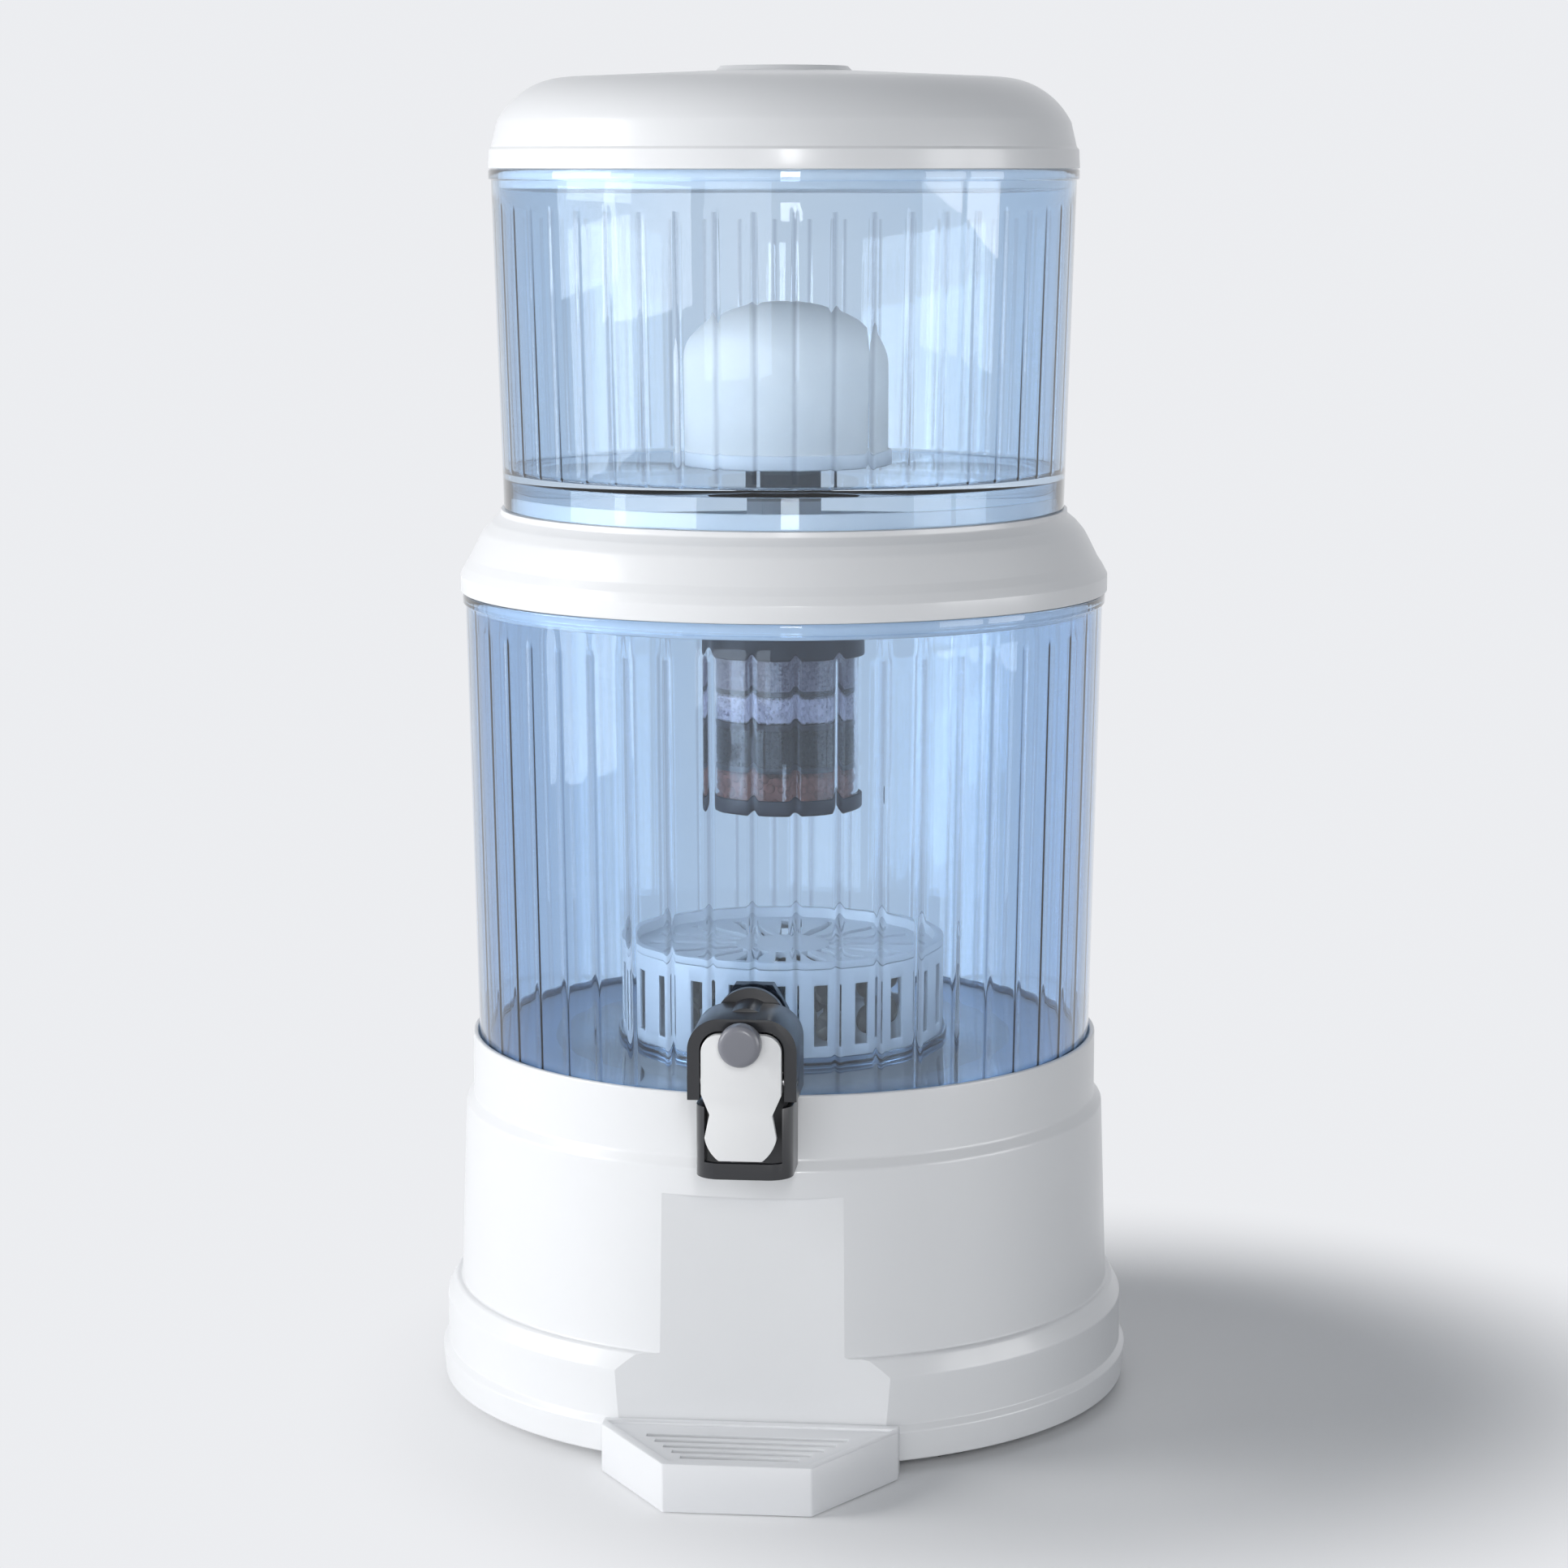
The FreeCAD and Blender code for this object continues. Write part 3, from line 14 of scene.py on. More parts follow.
import bmesh
import bpy
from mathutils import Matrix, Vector


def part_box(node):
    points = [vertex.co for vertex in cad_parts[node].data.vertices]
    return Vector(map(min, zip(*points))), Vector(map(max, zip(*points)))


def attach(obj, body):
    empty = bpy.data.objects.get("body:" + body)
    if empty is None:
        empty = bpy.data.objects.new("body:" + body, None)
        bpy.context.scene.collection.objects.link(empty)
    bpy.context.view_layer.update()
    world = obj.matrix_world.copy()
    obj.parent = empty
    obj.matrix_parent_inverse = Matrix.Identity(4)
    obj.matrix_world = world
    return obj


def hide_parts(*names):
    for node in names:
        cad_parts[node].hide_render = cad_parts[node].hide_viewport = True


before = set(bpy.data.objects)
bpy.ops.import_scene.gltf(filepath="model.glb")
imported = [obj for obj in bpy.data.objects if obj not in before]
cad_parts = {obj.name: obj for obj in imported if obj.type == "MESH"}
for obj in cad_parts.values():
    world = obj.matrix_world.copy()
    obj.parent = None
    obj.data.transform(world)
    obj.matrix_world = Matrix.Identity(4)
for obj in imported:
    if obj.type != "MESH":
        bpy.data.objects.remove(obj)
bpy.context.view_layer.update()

MM = 0.001
print("nodes:", len(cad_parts))

# %% [markdown]
# ## The camera
#
# The photograph looks slightly down on the filter, from a little to the right of its tap. A long lens
# far away keeps the tanks' sides almost parallel, as they are there. The camera is worked out from
# the rims: each rim is a circle, and how flat its ellipse looks tells how high the camera stands.

# %% Camera
CAMERA_DISTANCE = 1700 * MM
CAMERA_HEIGHT = 532.2 * MM
CAMERA_AIM = Vector((0, 0, 263.7 * MM))
CAMERA_TURN = math.radians(5.5)
SENSOR_WIDTH, FOCAL_LENGTH = 36, 90.66

camera = bpy.data.objects.new("camera", bpy.data.cameras.new("camera"))
bpy.context.scene.collection.objects.link(camera)
camera.location = (CAMERA_DISTANCE * math.sin(CAMERA_TURN),
                   -CAMERA_DISTANCE * math.cos(CAMERA_TURN), CAMERA_HEIGHT)
camera.rotation_euler = (CAMERA_AIM - camera.location).to_track_quat("-Z", "Y").to_euler()
camera.data.sensor_width = SENSOR_WIDTH
camera.data.lens = FOCAL_LENGTH
camera.data.dof.use_dof = False
bpy.context.scene.camera = camera
print("camera at", [round(part, 3) for part in camera.location])

# %% [markdown]
# ## Writing finishes as sums
#
# A finish mixes patterns. Written as nodes, that is a long list of boxes and wires; written as sums it
# reads like what it does. The class below wraps an output of a node, so that `1 - mask` or
# `grain * 0.2 + fleck` adds the Math nodes by itself. Any other node comes from one method, `add`,
# which sets the node's own settings first and then fills its sockets with values or wires.

# %% Sums of sockets
class Wire:
    """An output of a node that can be used in sums."""

    def __init__(self, tree, node, output=0):
        self.tree, self.node = tree, node
        self.socket = node.outputs[output] if node.outputs else None

    def out(self, name):
        """Another output of the same node."""
        return Wire(self.tree, self.node, name)

    def __add__(self, other):
        return self.tree.maths("ADD", self, other)

    __radd__ = __add__

    def __sub__(self, other):
        return self.tree.maths("SUBTRACT", self, other)

    def __rsub__(self, other):
        return self.tree.maths("SUBTRACT", other, self)

    def __mul__(self, other):
        return self.tree.maths("MULTIPLY", self, other)

    __rmul__ = __mul__


class Tree:
    """A node tree, for a material or for Geometry Nodes, that nodes are added to."""

    def __init__(self, tree, family="ShaderNode"):
        self.tree, self.family = tree, family

    def add(self, kind, settings=None, values=None, output=0):
        """A node of a kind, with its settings and the values or wires of its sockets."""
        families = (self.family, "ShaderNode", "FunctionNode")
        family = next(name for name in families if hasattr(bpy.types, name + kind))
        node = self.tree.nodes.new(family + kind)
        for name, setting in (settings or {}).items():
            setattr(node, name, setting)
        for name, value in (values or {}).items():
            if isinstance(value, (Wire, list)):
                for wire in value if isinstance(value, list) else [value]:
                    self.tree.links.new(wire.socket, node.inputs[name])
            else:
                node.inputs[name].default_value = value
        return Wire(self, node, output)

    def maths(self, operation, *numbers):
        """A Math node on numbers or wires."""
        return self.add("Math", {"operation": operation}, dict(enumerate(numbers)))

    def greater(self, first, second):
        """The larger of two numbers."""
        return self.maths("MAXIMUM", first, second)

    def blend(self, factor, first, second):
        """A mix of two colours."""
        colours = {6: first, 7: second, 0: factor}
        return self.add("Mix", {"data_type": "RGBA"}, colours, 2)


print("a finish is written as a sum")

# %% [markdown]
# ## The studio
#
# The light in the photograph comes through windows, and the blue tanks mirror them: one wide pane on
# the left, two narrow ones on the right and a small bright strip near the camera. The left of every
# white piece is almost paper white, its top and front are a cool pale grey, and the right falls off.
# Softboxes that stand upright around the filter give both the shading and the reflections. A softbox
# is placed by its azimuth, counted from the front to the right, because that is what a round wall
# mirrors. The right panes only give reflections and the fills only shade, so each can be set alone,
# and the inner light makes up for what the tinted walls take from the pieces behind them. None of
# the softboxes shows itself to the camera.

# %% Softboxes
def softbox(name, azimuth, away, low, high, wide, brightness):
    """An upright lamp that shines level at the filter, from a low to a high edge, in metres."""
    lamp = bpy.data.objects.new(name, bpy.data.lights.new(name, "AREA"))
    bpy.context.scene.collection.objects.link(lamp)
    turn, middle = math.radians(azimuth), (low + high) / 2
    lamp.location = (away * math.sin(turn), -away * math.cos(turn), middle)
    facing = Vector((0, 0, middle)) - lamp.location
    lamp.rotation_euler = facing.to_track_quat("-Z", "Y").to_euler()
    lamp.data.shape = "RECTANGLE"
    lamp.data.size, lamp.data.size_y = wide, high - low
    lamp.data.energy = brightness * math.pi * wide * (high - low)
    lamp.visible_camera = False
    return lamp


softbox("left_window", -76, 1.5, 0.38, 1.5, 0.80, 5.4)
softbox("front_strip", 8, 2.0, 0.45, 1.3, 0.26, 17)
panes = [softbox("right_pane", 68.5, 2.4, 0.1, 1.4, 0.74, 3.6),
         softbox("far_right_pane", 88, 2.4, 0.1, 1.4, 0.70, 3.6)]
fills = [softbox("low_left_fill", -70, 1.6, 0.0, 0.5, 0.9, 5.2),
         softbox("low_front_fill", -12, 2.2, 0.0, 0.5, 1.0, 3.0),
         softbox("right_fill", 80, 2.2, 0.2, 1.2, 1.0, 0.5)]
back_fill = softbox("back_fill", 170, 2.2, 1.2, 2.2, 1.2, 2.0)
inner_light = softbox("inner_light", -48, 1.5, 0.3, 1.2, 1.0, 6.0)
for pane in [*panes, inner_light]:
    pane.visible_diffuse = False
for fill in [*fills, back_fill, inner_light]:
    fill.visible_glossy = False
back_fill.visible_transmission = False
print("softboxes:", len(bpy.data.lights))

# %% [markdown]
# The room around the softboxes is a faint even light. What the camera, gloss and glass see instead
# is a plain pale backdrop, so the background is bright without lighting the filter.

# %% Room and backdrop
BACKDROP = (0.84, 0.85, 0.875, 1)


def seen_by_eye(tree):
    """1 for rays that make the picture: from the camera, off gloss or through glass."""
    ray = tree.add("LightPath")
    clear_or_glossy = tree.greater(ray.out("Is Glossy Ray"), ray.out("Is Transmission Ray"))
    return tree.greater(ray.out("Is Camera Ray"), clear_or_glossy)


world = bpy.data.worlds.new("studio")
bpy.context.scene.world = world
world.use_nodes = True
world.node_tree.nodes.clear()
room = Tree(world.node_tree)
glow = room.add("Background", {}, {"Color": (0.86, 0.92, 1.0, 1), "Strength": 0.2})
backdrop = room.add("Background", {}, {"Color": BACKDROP, "Strength": 1.0})
either = room.add("MixShader", {}, {0: seen_by_eye(room), 1: glow, 2: backdrop})
room.add("OutputWorld", {}, {"Surface": either})
bpy.context.scene.view_settings.view_transform = "Standard"
print("backdrop colour:", BACKDROP[:3])

# %% [markdown]
# ## The finishes
#
# Every material reads Object coordinates, in metres: a grain that is 0.4 mm across stays 0.4 mm across
# on each piece. What is the same all over a piece, such as how clear a plastic is, is set on the
# shader itself. What changes, such as the fine orange-peel of a moulded face, goes through nodes.

# %% The start of a finish
def new_finish(name, steady):
    """A material with one Principled shader, its steady values set, and its tree ready for sums."""
    material = bpy.data.materials.new(name)
    material.use_nodes = True
    tree = Tree(material.node_tree)
    shader = material.node_tree.nodes["Principled BSDF"]
    for socket, value in steady.items():
        shader.inputs[socket].default_value = value
    place = tree.add("TexCoord", output="Object")
    return material, tree, shader, place


def feed(tree, shader, **wires):
    """Let wires drive sockets of the shader."""
    for name, wire in wires.items():
        socket = shader.inputs[name.replace("_", " ")]
        tree.tree.links.new(wire.socket, socket)


def noise(tree, place, size, detail=2.0, roughness=0.5):
    """A cloudy pattern whose blotches are about a size across, in metres."""
    return tree.add("TexNoise", {}, {"Vector": place, "Scale": 1 / size, "Detail": detail,
                                     "Roughness": roughness})


def relief(tree, height, depth, strength=1.0):
    """A bump of a depth in metres, from a height pattern."""
    return tree.add("Bump", {}, {"Height": height, "Distance": depth, "Strength": strength})


print("finish tools ready")

# %% [markdown]
# ### Moulded plastic
#
# Moulded plastic is never a mirror: the surface has a faint orange peel, and handling makes its gloss
# uneven. Both are noise, the first as a bump of a few thousandths of a millimetre and the second in
# the roughness. A slow drift of the colour keeps a big white wall from looking like paper.

# %% Moulded plastics
def moulded(name, colour, gloss, drift=0.03, coat=0.0):
    """Opaque moulded plastic of a colour; gloss is its mean roughness."""
    material, tree, shader, place = new_finish(name, {"IOR": 1.5, "Coat Weight": coat,
                                                      "Coat Roughness": 0.12})
    slow = noise(tree, place, 60 * MM)
    fine = noise(tree, place, 2.2 * MM, 3)
    darker = tuple(part * (1 - drift) for part in colour[:3]) + (1,)
    tint = tree.blend(slow, colour + (1,), darker)
    rough = slow * 0.08 + fine * 0.05 + (gloss - 0.06)
    feed(tree, shader, Base_Color=tint, Roughness=rough,
         Normal=relief(tree, fine, 0.012 * MM, 0.35))
    return material


white_plastic = moulded("white_plastic", (0.80, 0.81, 0.825), 0.30, coat=0.25)
tray_plastic = moulded("tray_plastic", (0.80, 0.81, 0.83), 0.36, coat=0.1)
charcoal_plastic = moulded("charcoal_plastic", (0.022, 0.023, 0.027), 0.32, drift=0.2, coat=0.2)
pearl_plastic = moulded("pearl_plastic", (0.82, 0.825, 0.83), 0.32, coat=0.3)
knob_plastic = moulded("knob_plastic", (0.20, 0.205, 0.235), 0.34, drift=0.1, coat=0.2)
black_plastic = moulded("black_plastic", (0.028, 0.03, 0.045), 0.42, drift=0.25)
print("moulded plastics: 6")

# %% [markdown]
# ### Clear blue plastic
#
# The tanks are real walls with an inner and an outer face, so real refraction does the work: the
# flutes bend what is behind them. The tint is weak, because light crosses a wall on its way in and
# again on its way out. Where light crosses more plastic the tint is deeper: towards a tank's sides,
# which Layer Weight finds. Along the ribs, which the angle around the axis finds, a darker blue is
# painted shade: it stands in for the soft dark lines that the flutes' refraction makes, even in
# front of the plain white dome. The lower tank is the same plastic as the upper one, and its deeper
# tint is painted shade for the darker room behind it.

# %% Clear plastics
FLUTES = 48
RIB_SHADE_WIDTH, RIB_SHADE_STRENGTH = 0.10, 0.6
# painted shade: the dark blue that is laid along the tanks' ribs
RIB_PAINTED_SHADE = (0.42, 0.48, 0.58, 1)


def rib_distance(tree, part, count):
    """How far around the axis a point is from the nearest rib, as a share of their spacing."""
    turn = tree.maths("ARCTAN2", part.out("Y"), part.out("X"))
    share = turn * count * (1 / math.tau) + 0.5
    return tree.maths("ABSOLUTE", tree.maths("FLOORED_MODULO", share, 1.0) - 0.5)


def rib_shade_mask(tree, place, inner, low, high):
    """Mask for painted shade: 1 along the ribs of a fluted wall, 0 between them, and 0 off the wall.
    """
    part = tree.add("SeparateXYZ", {}, {0: place})
    line = tree.add("MapRange", {"interpolation_type": "SMOOTHSTEP"},
                    {"Value": rib_distance(tree, part, FLUTES), "From Min": 0.0,
                     "From Max": RIB_SHADE_WIDTH, "To Min": 1.0, "To Max": 0.0})
    flat = tree.add("CombineXYZ", {}, {"X": part.out("X"), "Y": part.out("Y")})
    radius = tree.add("VectorMath", {"operation": "LENGTH"}, {0: flat}, "Value")
    wall = tree.maths("GREATER_THAN", radius, inner)
    above = tree.maths("GREATER_THAN", part.out("Z"), low)
    under = tree.maths("LESS_THAN", part.out("Z"), high)
    return line * wall * above * under


def clear(name, tint, edge, index, ribs=None):
    """Clear plastic whose tint deepens edge on, with painted shade along its ribs and faint flow
    lines.
    """
    steady = {"IOR": index, "Transmission Weight": 1.0, "Coat Weight": 0.35, "Coat Roughness": 0.02}
    material, tree, shader, place = new_finish(name, steady)
    flow = noise(tree, place, 25 * MM, 2)
    edge_on = tree.add("LayerWeight", {}, {"Blend": 0.5}, "Facing")
    colour = tree.blend(edge_on + flow * 0.12 - 0.06, tint + (1,), edge + (1,))
    if ribs:
        # painted shade: the tint is darkened along the ribs
        colour = tree.blend(rib_shade_mask(tree, place, *ribs) * RIB_SHADE_STRENGTH, colour, RIB_PAINTED_SHADE)
    feed(tree, shader, Base_Color=colour, Roughness=flow * 0.02 + 0.01)
    return material


upper_plastic = clear("upper_tank_plastic", (0.75, 0.84, 0.93), (0.36, 0.56, 0.80), 1.36,
                      (117 * MM, 404 * MM, 512 * MM))
# painted shade: the lower tank is the same plastic as the upper one, its tint made deeper for the
# darker room behind it
lower_plastic_shaded = clear("lower_tank_plastic_shaded", (0.68, 0.79, 0.91), (0.28, 0.48, 0.76), 1.36,
                      (129 * MM, 157 * MM, 334 * MM))
clear_plastic = clear("clear_plastic", (0.96, 0.96, 0.97), (0.80, 0.80, 0.83), 1.3)
print("clear plastics: 3")

# %% [markdown]
# ### Ceramic, media, rubber and metal
#
# The dome is fired from fine clay and feels like chalk: a fine grain and almost no gloss. The media
# are grains of four kinds. A Voronoi pattern is a good grain, because each cell gets its own colour.

# %% Grained finishes
def grained(name, light, dark, size, depth, gloss=0.85):
    """Packed grains of a size, whose colours lie between a light and a dark one."""
    material, tree, shader, place = new_finish(name, {"IOR": 1.45})
    cells = tree.add("TexVoronoi", {}, {"Vector": place, "Scale": 1 / size})
    pick = tree.add("SeparateColor", {}, {0: cells.out("Color")})
    shade = tree.blend(pick, light + (1,), dark + (1,))
    feed(tree, shader, Base_Color=shade, Roughness=pick * 0.1 + (gloss - 0.05),
         Normal=relief(tree, 1 - cells.out("Distance"), depth))
    return material


def chalky(name, colour, grain, gloss):
    """A fine, almost matt surface such as fired filter clay or rubber."""
    material, tree, shader, place = new_finish(name, {"IOR": 1.45})
    fine = noise(tree, place, grain, 5, 0.65)
    slow = noise(tree, place, 18 * MM)
    darker = tuple(part * 0.92 for part in colour) + (1,)
    feed(tree, shader, Base_Color=tree.blend(slow, colour + (1,), darker),
         Roughness=fine * 0.12 + (gloss - 0.06), Normal=relief(tree, fine, 0.05 * MM, 0.5))
    return material


def drawn_metal(name, light, dark):
    """Metal with fine streaks along its length."""
    material, tree, shader, place = new_finish(name, {"IOR": 2.5, "Metallic": 1.0})
    stretched = tree.add("Mapping", {}, {"Vector": place, "Scale": (1, 18, 18)})
    streak = noise(tree, stretched, 6 * MM, 3)
    feed(tree, shader, Roughness=streak * 0.2 + 0.2,
         Base_Color=tree.blend(streak, light + (1,), dark + (1,)))
    return material


ceramic_clay = chalky("ceramic_clay", (0.90, 0.87, 0.83), 0.6 * MM, 0.78)
black_rubber = chalky("black_rubber", (0.02, 0.02, 0.022), 0.8 * MM, 0.62)
grey_silicone = chalky("grey_silicone", (0.42, 0.42, 0.41), 1.2 * MM, 0.5)
filter_felt = chalky("filter_felt", (0.05, 0.045, 0.06), 0.35 * MM, 0.95)
sand_grains = grained("sand_grains", (0.36, 0.33, 0.41), (0.17, 0.15, 0.20), 1.1 * MM, 0.3 * MM)
zeolite_grains = grained("zeolite_grains", (0.80, 0.76, 0.88), (0.55, 0.52, 0.66), 2.2 * MM, 0.3 * MM)
carbon_grains = grained("carbon_grains", (0.028, 0.028, 0.034), (0.008, 0.008, 0.01), 1.6 * MM,
                        0.5 * MM, 0.6)
fired_clay = chalky("fired_clay", (0.33, 0.13, 0.10), 0.8 * MM, 0.8)
pebble_stone = grained("pebble_stone", (0.46, 0.43, 0.38), (0.30, 0.27, 0.24), 5 * MM, 0.3 * MM)
brushed_steel = drawn_metal("brushed_steel", (0.60, 0.60, 0.61), (0.45, 0.45, 0.46))
print("grained, chalky and metal finishes: 10")

# %% [markdown]
# ## Turning a piece on the lathe
#
# Most of this filter is round, so most pieces are a profile turned around the axis. A profile is a
# list of (radius, height) corners in millimetres, and a third number rounds a corner. Sharp moulded
# edges don't exist: even a crisp rim has half a millimetre of rounding, and it is that rounding that
# catches the light.

# %% Lathe
NEARLY_STRAIGHT = 0.02
MOST_OF_SIDE = 0.49
ON_AXIS = 1e-6
SHARP_ANGLE = 34


def rounded(corners, steps=4):
    """The corners of a closed profile, with each rounded one replaced by points on its arc."""
    points = []
    for index, corner in enumerate(corners):
        here = Vector(corner[:2])
        radius = corner[2] if len(corner) > 2 else 0
        before = Vector(corners[index - 1][:2]) - here
        after = Vector(corners[(index + 1) % len(corners)][:2]) - here
        half = before.angle(after) / 2
        if radius == 0 or abs(half - math.pi / 2) < NEARLY_STRAIGHT:
            points.append(here)
            continue
        reach = min(radius / math.tan(half), before.length * MOST_OF_SIDE,
                    after.length * MOST_OF_SIDE)
        radius = reach * math.tan(half)
        middle = here + (before.normalized() + after.normalized()).normalized() * (
            radius / math.sin(half))
        start, stop = here + before.normalized() * reach, here + after.normalized() * reach
        sweep = (start - middle).angle_signed(stop - middle)
        spoke = start - middle
        for step in range(steps + 1):
            turn = -sweep * step / steps
            points.append(middle + Vector((spoke.x * math.cos(turn) - spoke.y * math.sin(turn),
                                           spoke.x * math.sin(turn) + spoke.y * math.cos(turn))))
    return points


def even_turns(sides):
    """Angles of the columns of a round piece, all the same way apart."""
    return [math.tau * side / sides for side in range(sides)]


BIG_ROUND, SMALL_ROUND = even_turns(240), even_turns(128)


def lathe(name, corners, turns, steps=4):
    """A piece turned around the vertical axis from a closed profile in millimetres."""
    profile = rounded(corners, steps)
    shape = bmesh.new()
    rings = []
    for point in profile:
        if abs(point.x) < ON_AXIS:
            pole = shape.verts.new((0, 0, point.y * MM))
            rings.append([pole] * len(turns))
        else:
            rings.append([shape.verts.new((point.x * MM * math.cos(turn),
                                           point.x * MM * math.sin(turn), point.y * MM))
                          for turn in turns])
    for low, high in zip(rings, rings[1:] + rings[:1]):
        for side in range(len(turns)):
            after = (side + 1) % len(turns)
            loop = list(dict.fromkeys((low[side], low[after], high[after], high[side])))
            if len(loop) > 2:
                shape.faces.new(loop)
    return close_mesh(name, shape)


def close_mesh(name, shape, sharp=SHARP_ANGLE):
    """Turn a bmesh into an object with outward faces and smooth shading."""
    bmesh.ops.recalc_face_normals(shape, faces=shape.faces)
    mesh = bpy.data.meshes.new(name)
    shape.to_mesh(mesh)
    shape.free()
    return new_piece(name, mesh, sharp)


def new_piece(name, mesh, sharp=SHARP_ANGLE):
    """An object at the origin for a finished mesh, smooth but for its sharp edges."""
    mesh.shade_smooth()
    mesh.set_sharp_from_angle(angle=math.radians(sharp))
    piece = bpy.data.objects.new(name, mesh)
    bpy.context.scene.collection.objects.link(piece)
    return piece


def baked(piece, sharp, *tools):
    """A plain mesh of a piece with its modifiers worked out; the piece and its tools go."""
    view = bpy.context.evaluated_depsgraph_get()
    view.update()
    mesh = bpy.data.meshes.new_from_object(piece.evaluated_get(view))
    name = piece.name
    for used in (piece, *tools):
        old = used.data
        bpy.data.objects.remove(used)
        bpy.data.meshes.remove(old)
    mesh.name = name
    return new_piece(name, mesh, sharp)


def fit(piece, material, body, slot, *nodes):
    """Give a piece its finish, let it ride on a body and stand for CAD nodes."""
    piece.data.materials.clear()
    piece.data.materials.append(material)
    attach(piece, body)
    if nodes:
        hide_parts(*nodes)
    print(f"{piece.name}: {len(piece.data.polygons)} faces")
    return piece


# %% [markdown]
# ## The lid
#
# The lid is a shallow dome. Its band stands on the upper tank's rim, its shoulder is one wide curve,
# and a low disc sits in the middle of the crown. Inside there is a ring that reaches into the tank.
# The shoulder's curve is drawn with many short steps here, where the CAD has only four.

# %% Lid
def sweep_points(across, up, wide, high, first, last, steps):
    """Points along a curve around a centre, between two angles in degrees."""
    points = []
    for step in range(steps + 1):
        angle = math.radians(first + (last - first) * step / steps)
        points.append((across + wide * math.cos(angle), up + high * math.sin(angle)))
    return points


LID_FOOT, LID_CROWN = 528.8, 569.7
lid_profile = [
    (125.6, LID_FOOT, 0.5), (125.2, LID_FOOT + 8, 0.6), (124.2, LID_FOOT + 9, 0.5),
    *sweep_points(91.4, LID_FOOT + 4, 34, 34, 26.6, 90, 18),
    (29, LID_CROWN, 0.8), (27, LID_CROWN + 2, 0.9), (0, LID_CROWN + 2),
    (0, LID_FOOT + 35.5), *sweep_points(91.4, LID_FOOT + 4, 31.5, 31.5, 90, 29, 12),
    (119.06, LID_FOOT + 10), (119.06, LID_FOOT - 8, 0.6), (121.56, LID_FOOT - 8, 0.6),
    (121.56, LID_FOOT),
]
lid = lathe("lid_dome", lid_profile, BIG_ROUND)
fit(lid, white_plastic, "lid", "white_plastic", "lid")

# %% [markdown]
# ## The fluted tanks
#
# Each tank is a thin tapered wall. On its inside, 48 fine ribs run from the floor almost to the rim,
# and they are what makes the upright lines in the photograph. The wall is turned with its columns
# crowded around each rib, and Geometry Nodes then push the columns inwards: a rule that is the same
# for every rib, with the count, width and height of the ribs as named inputs.

# %% Geometry Nodes: starting, ending and keeping a tree
def new_group(name, *rows):
    """A Geometry Nodes tree with named inputs, what it is given, and the inputs' identifiers."""
    group = bpy.data.node_groups.new(name, "GeometryNodeTree")
    interface = group.interface
    interface.new_socket("Geometry", in_out="OUTPUT", socket_type="NodeSocketGeometry")
    interface.new_socket("Geometry", in_out="INPUT", socket_type="NodeSocketGeometry")
    inputs = {}
    for label, kind, value in (*rows, ("Material", "Material", None)):
        socket = interface.new_socket(label, in_out="INPUT", socket_type="NodeSocket" + kind)
        if kind != "Material":
            socket.default_value = value
        inputs[label] = socket.identifier
    tree = Tree(group, "GeometryNode")
    return tree, Wire(tree, group.nodes.new("NodeGroupInput")), inputs


def end_group(tree, given, geometry):
    """End a Geometry Nodes tree with real meshes in the given material."""
    real = tree.add("RealizeInstances", {}, {"Geometry": geometry})
    done = tree.add("SetMaterial", {}, {"Geometry": real, "Material": given.out("Material")})
    group = tree.tree
    group.links.new(done.socket, group.nodes.new("NodeGroupOutput").inputs[0])
    print(f"{group.name}: {len(group.nodes)} nodes")


def grown(piece, tree, inputs, values, sharp=SHARP_ANGLE):
    """The mesh that a Geometry Nodes tree makes of a piece, as a plain mesh with no modifier."""
    modifier = piece.modifiers.new(tree.tree.name, "NODES")
    modifier.node_group = tree.tree
    for name, value in values.items():
        modifier[inputs[name]] = value
    return baked(piece, sharp)


print("geometry tree tools ready")

# %% Geometry Nodes: flutes
RIB_WIDTH, RIB_HEIGHT = 0.15, 0.45 * MM

build, given, flute_inputs = new_group("flutes", ("Count", "Float", float(FLUTES)),
                                       ("Width", "Float", RIB_WIDTH),
                                       ("Height", "Float", RIB_HEIGHT))
parts = build.add("SeparateXYZ", {}, {0: build.add("InputPosition")})
bulge = build.add("MapRange", {"interpolation_type": "SMOOTHERSTEP"},
                  {"Value": rib_distance(build, parts, given.out("Count")), "From Min": 0.0,
                   "From Max": given.out("Width"), "To Min": 1.0, "To Max": 0.0})
ribbed = build.add("InputNamedAttribute", {"data_type": "FLOAT"}, {"Name": "ribbed"})
push = bulge * ribbed * given.out("Height") * -1
flat = build.add("CombineXYZ", {}, {"X": parts.out("X"), "Y": parts.out("Y")})
outward = build.add("VectorMath", {"operation": "NORMALIZE"}, {0: flat})
shift = build.add("VectorMath", {"operation": "SCALE"}, {0: outward, "Scale": push})
end_group(build, given, build.add("SetPosition", {}, {"Geometry": given, "Offset": shift}))

# %% Fluted tanks
def flute_turns(count):
    """Angles of the wall's columns, crowded around each rib."""
    places = (-0.15, -0.11, -0.07, -0.035, 0, 0.035, 0.07, 0.11, 0.15, 0.33, 0.5, 0.67)
    return [math.tau * (rib + place) / count for rib in range(count) for place in places]


def inner_wall(radius, wider, foot, top):
    """A rule for the radius inside a wall that gets wider from its foot to its top."""
    return lambda height: radius + wider * (height - foot) / (top - foot)


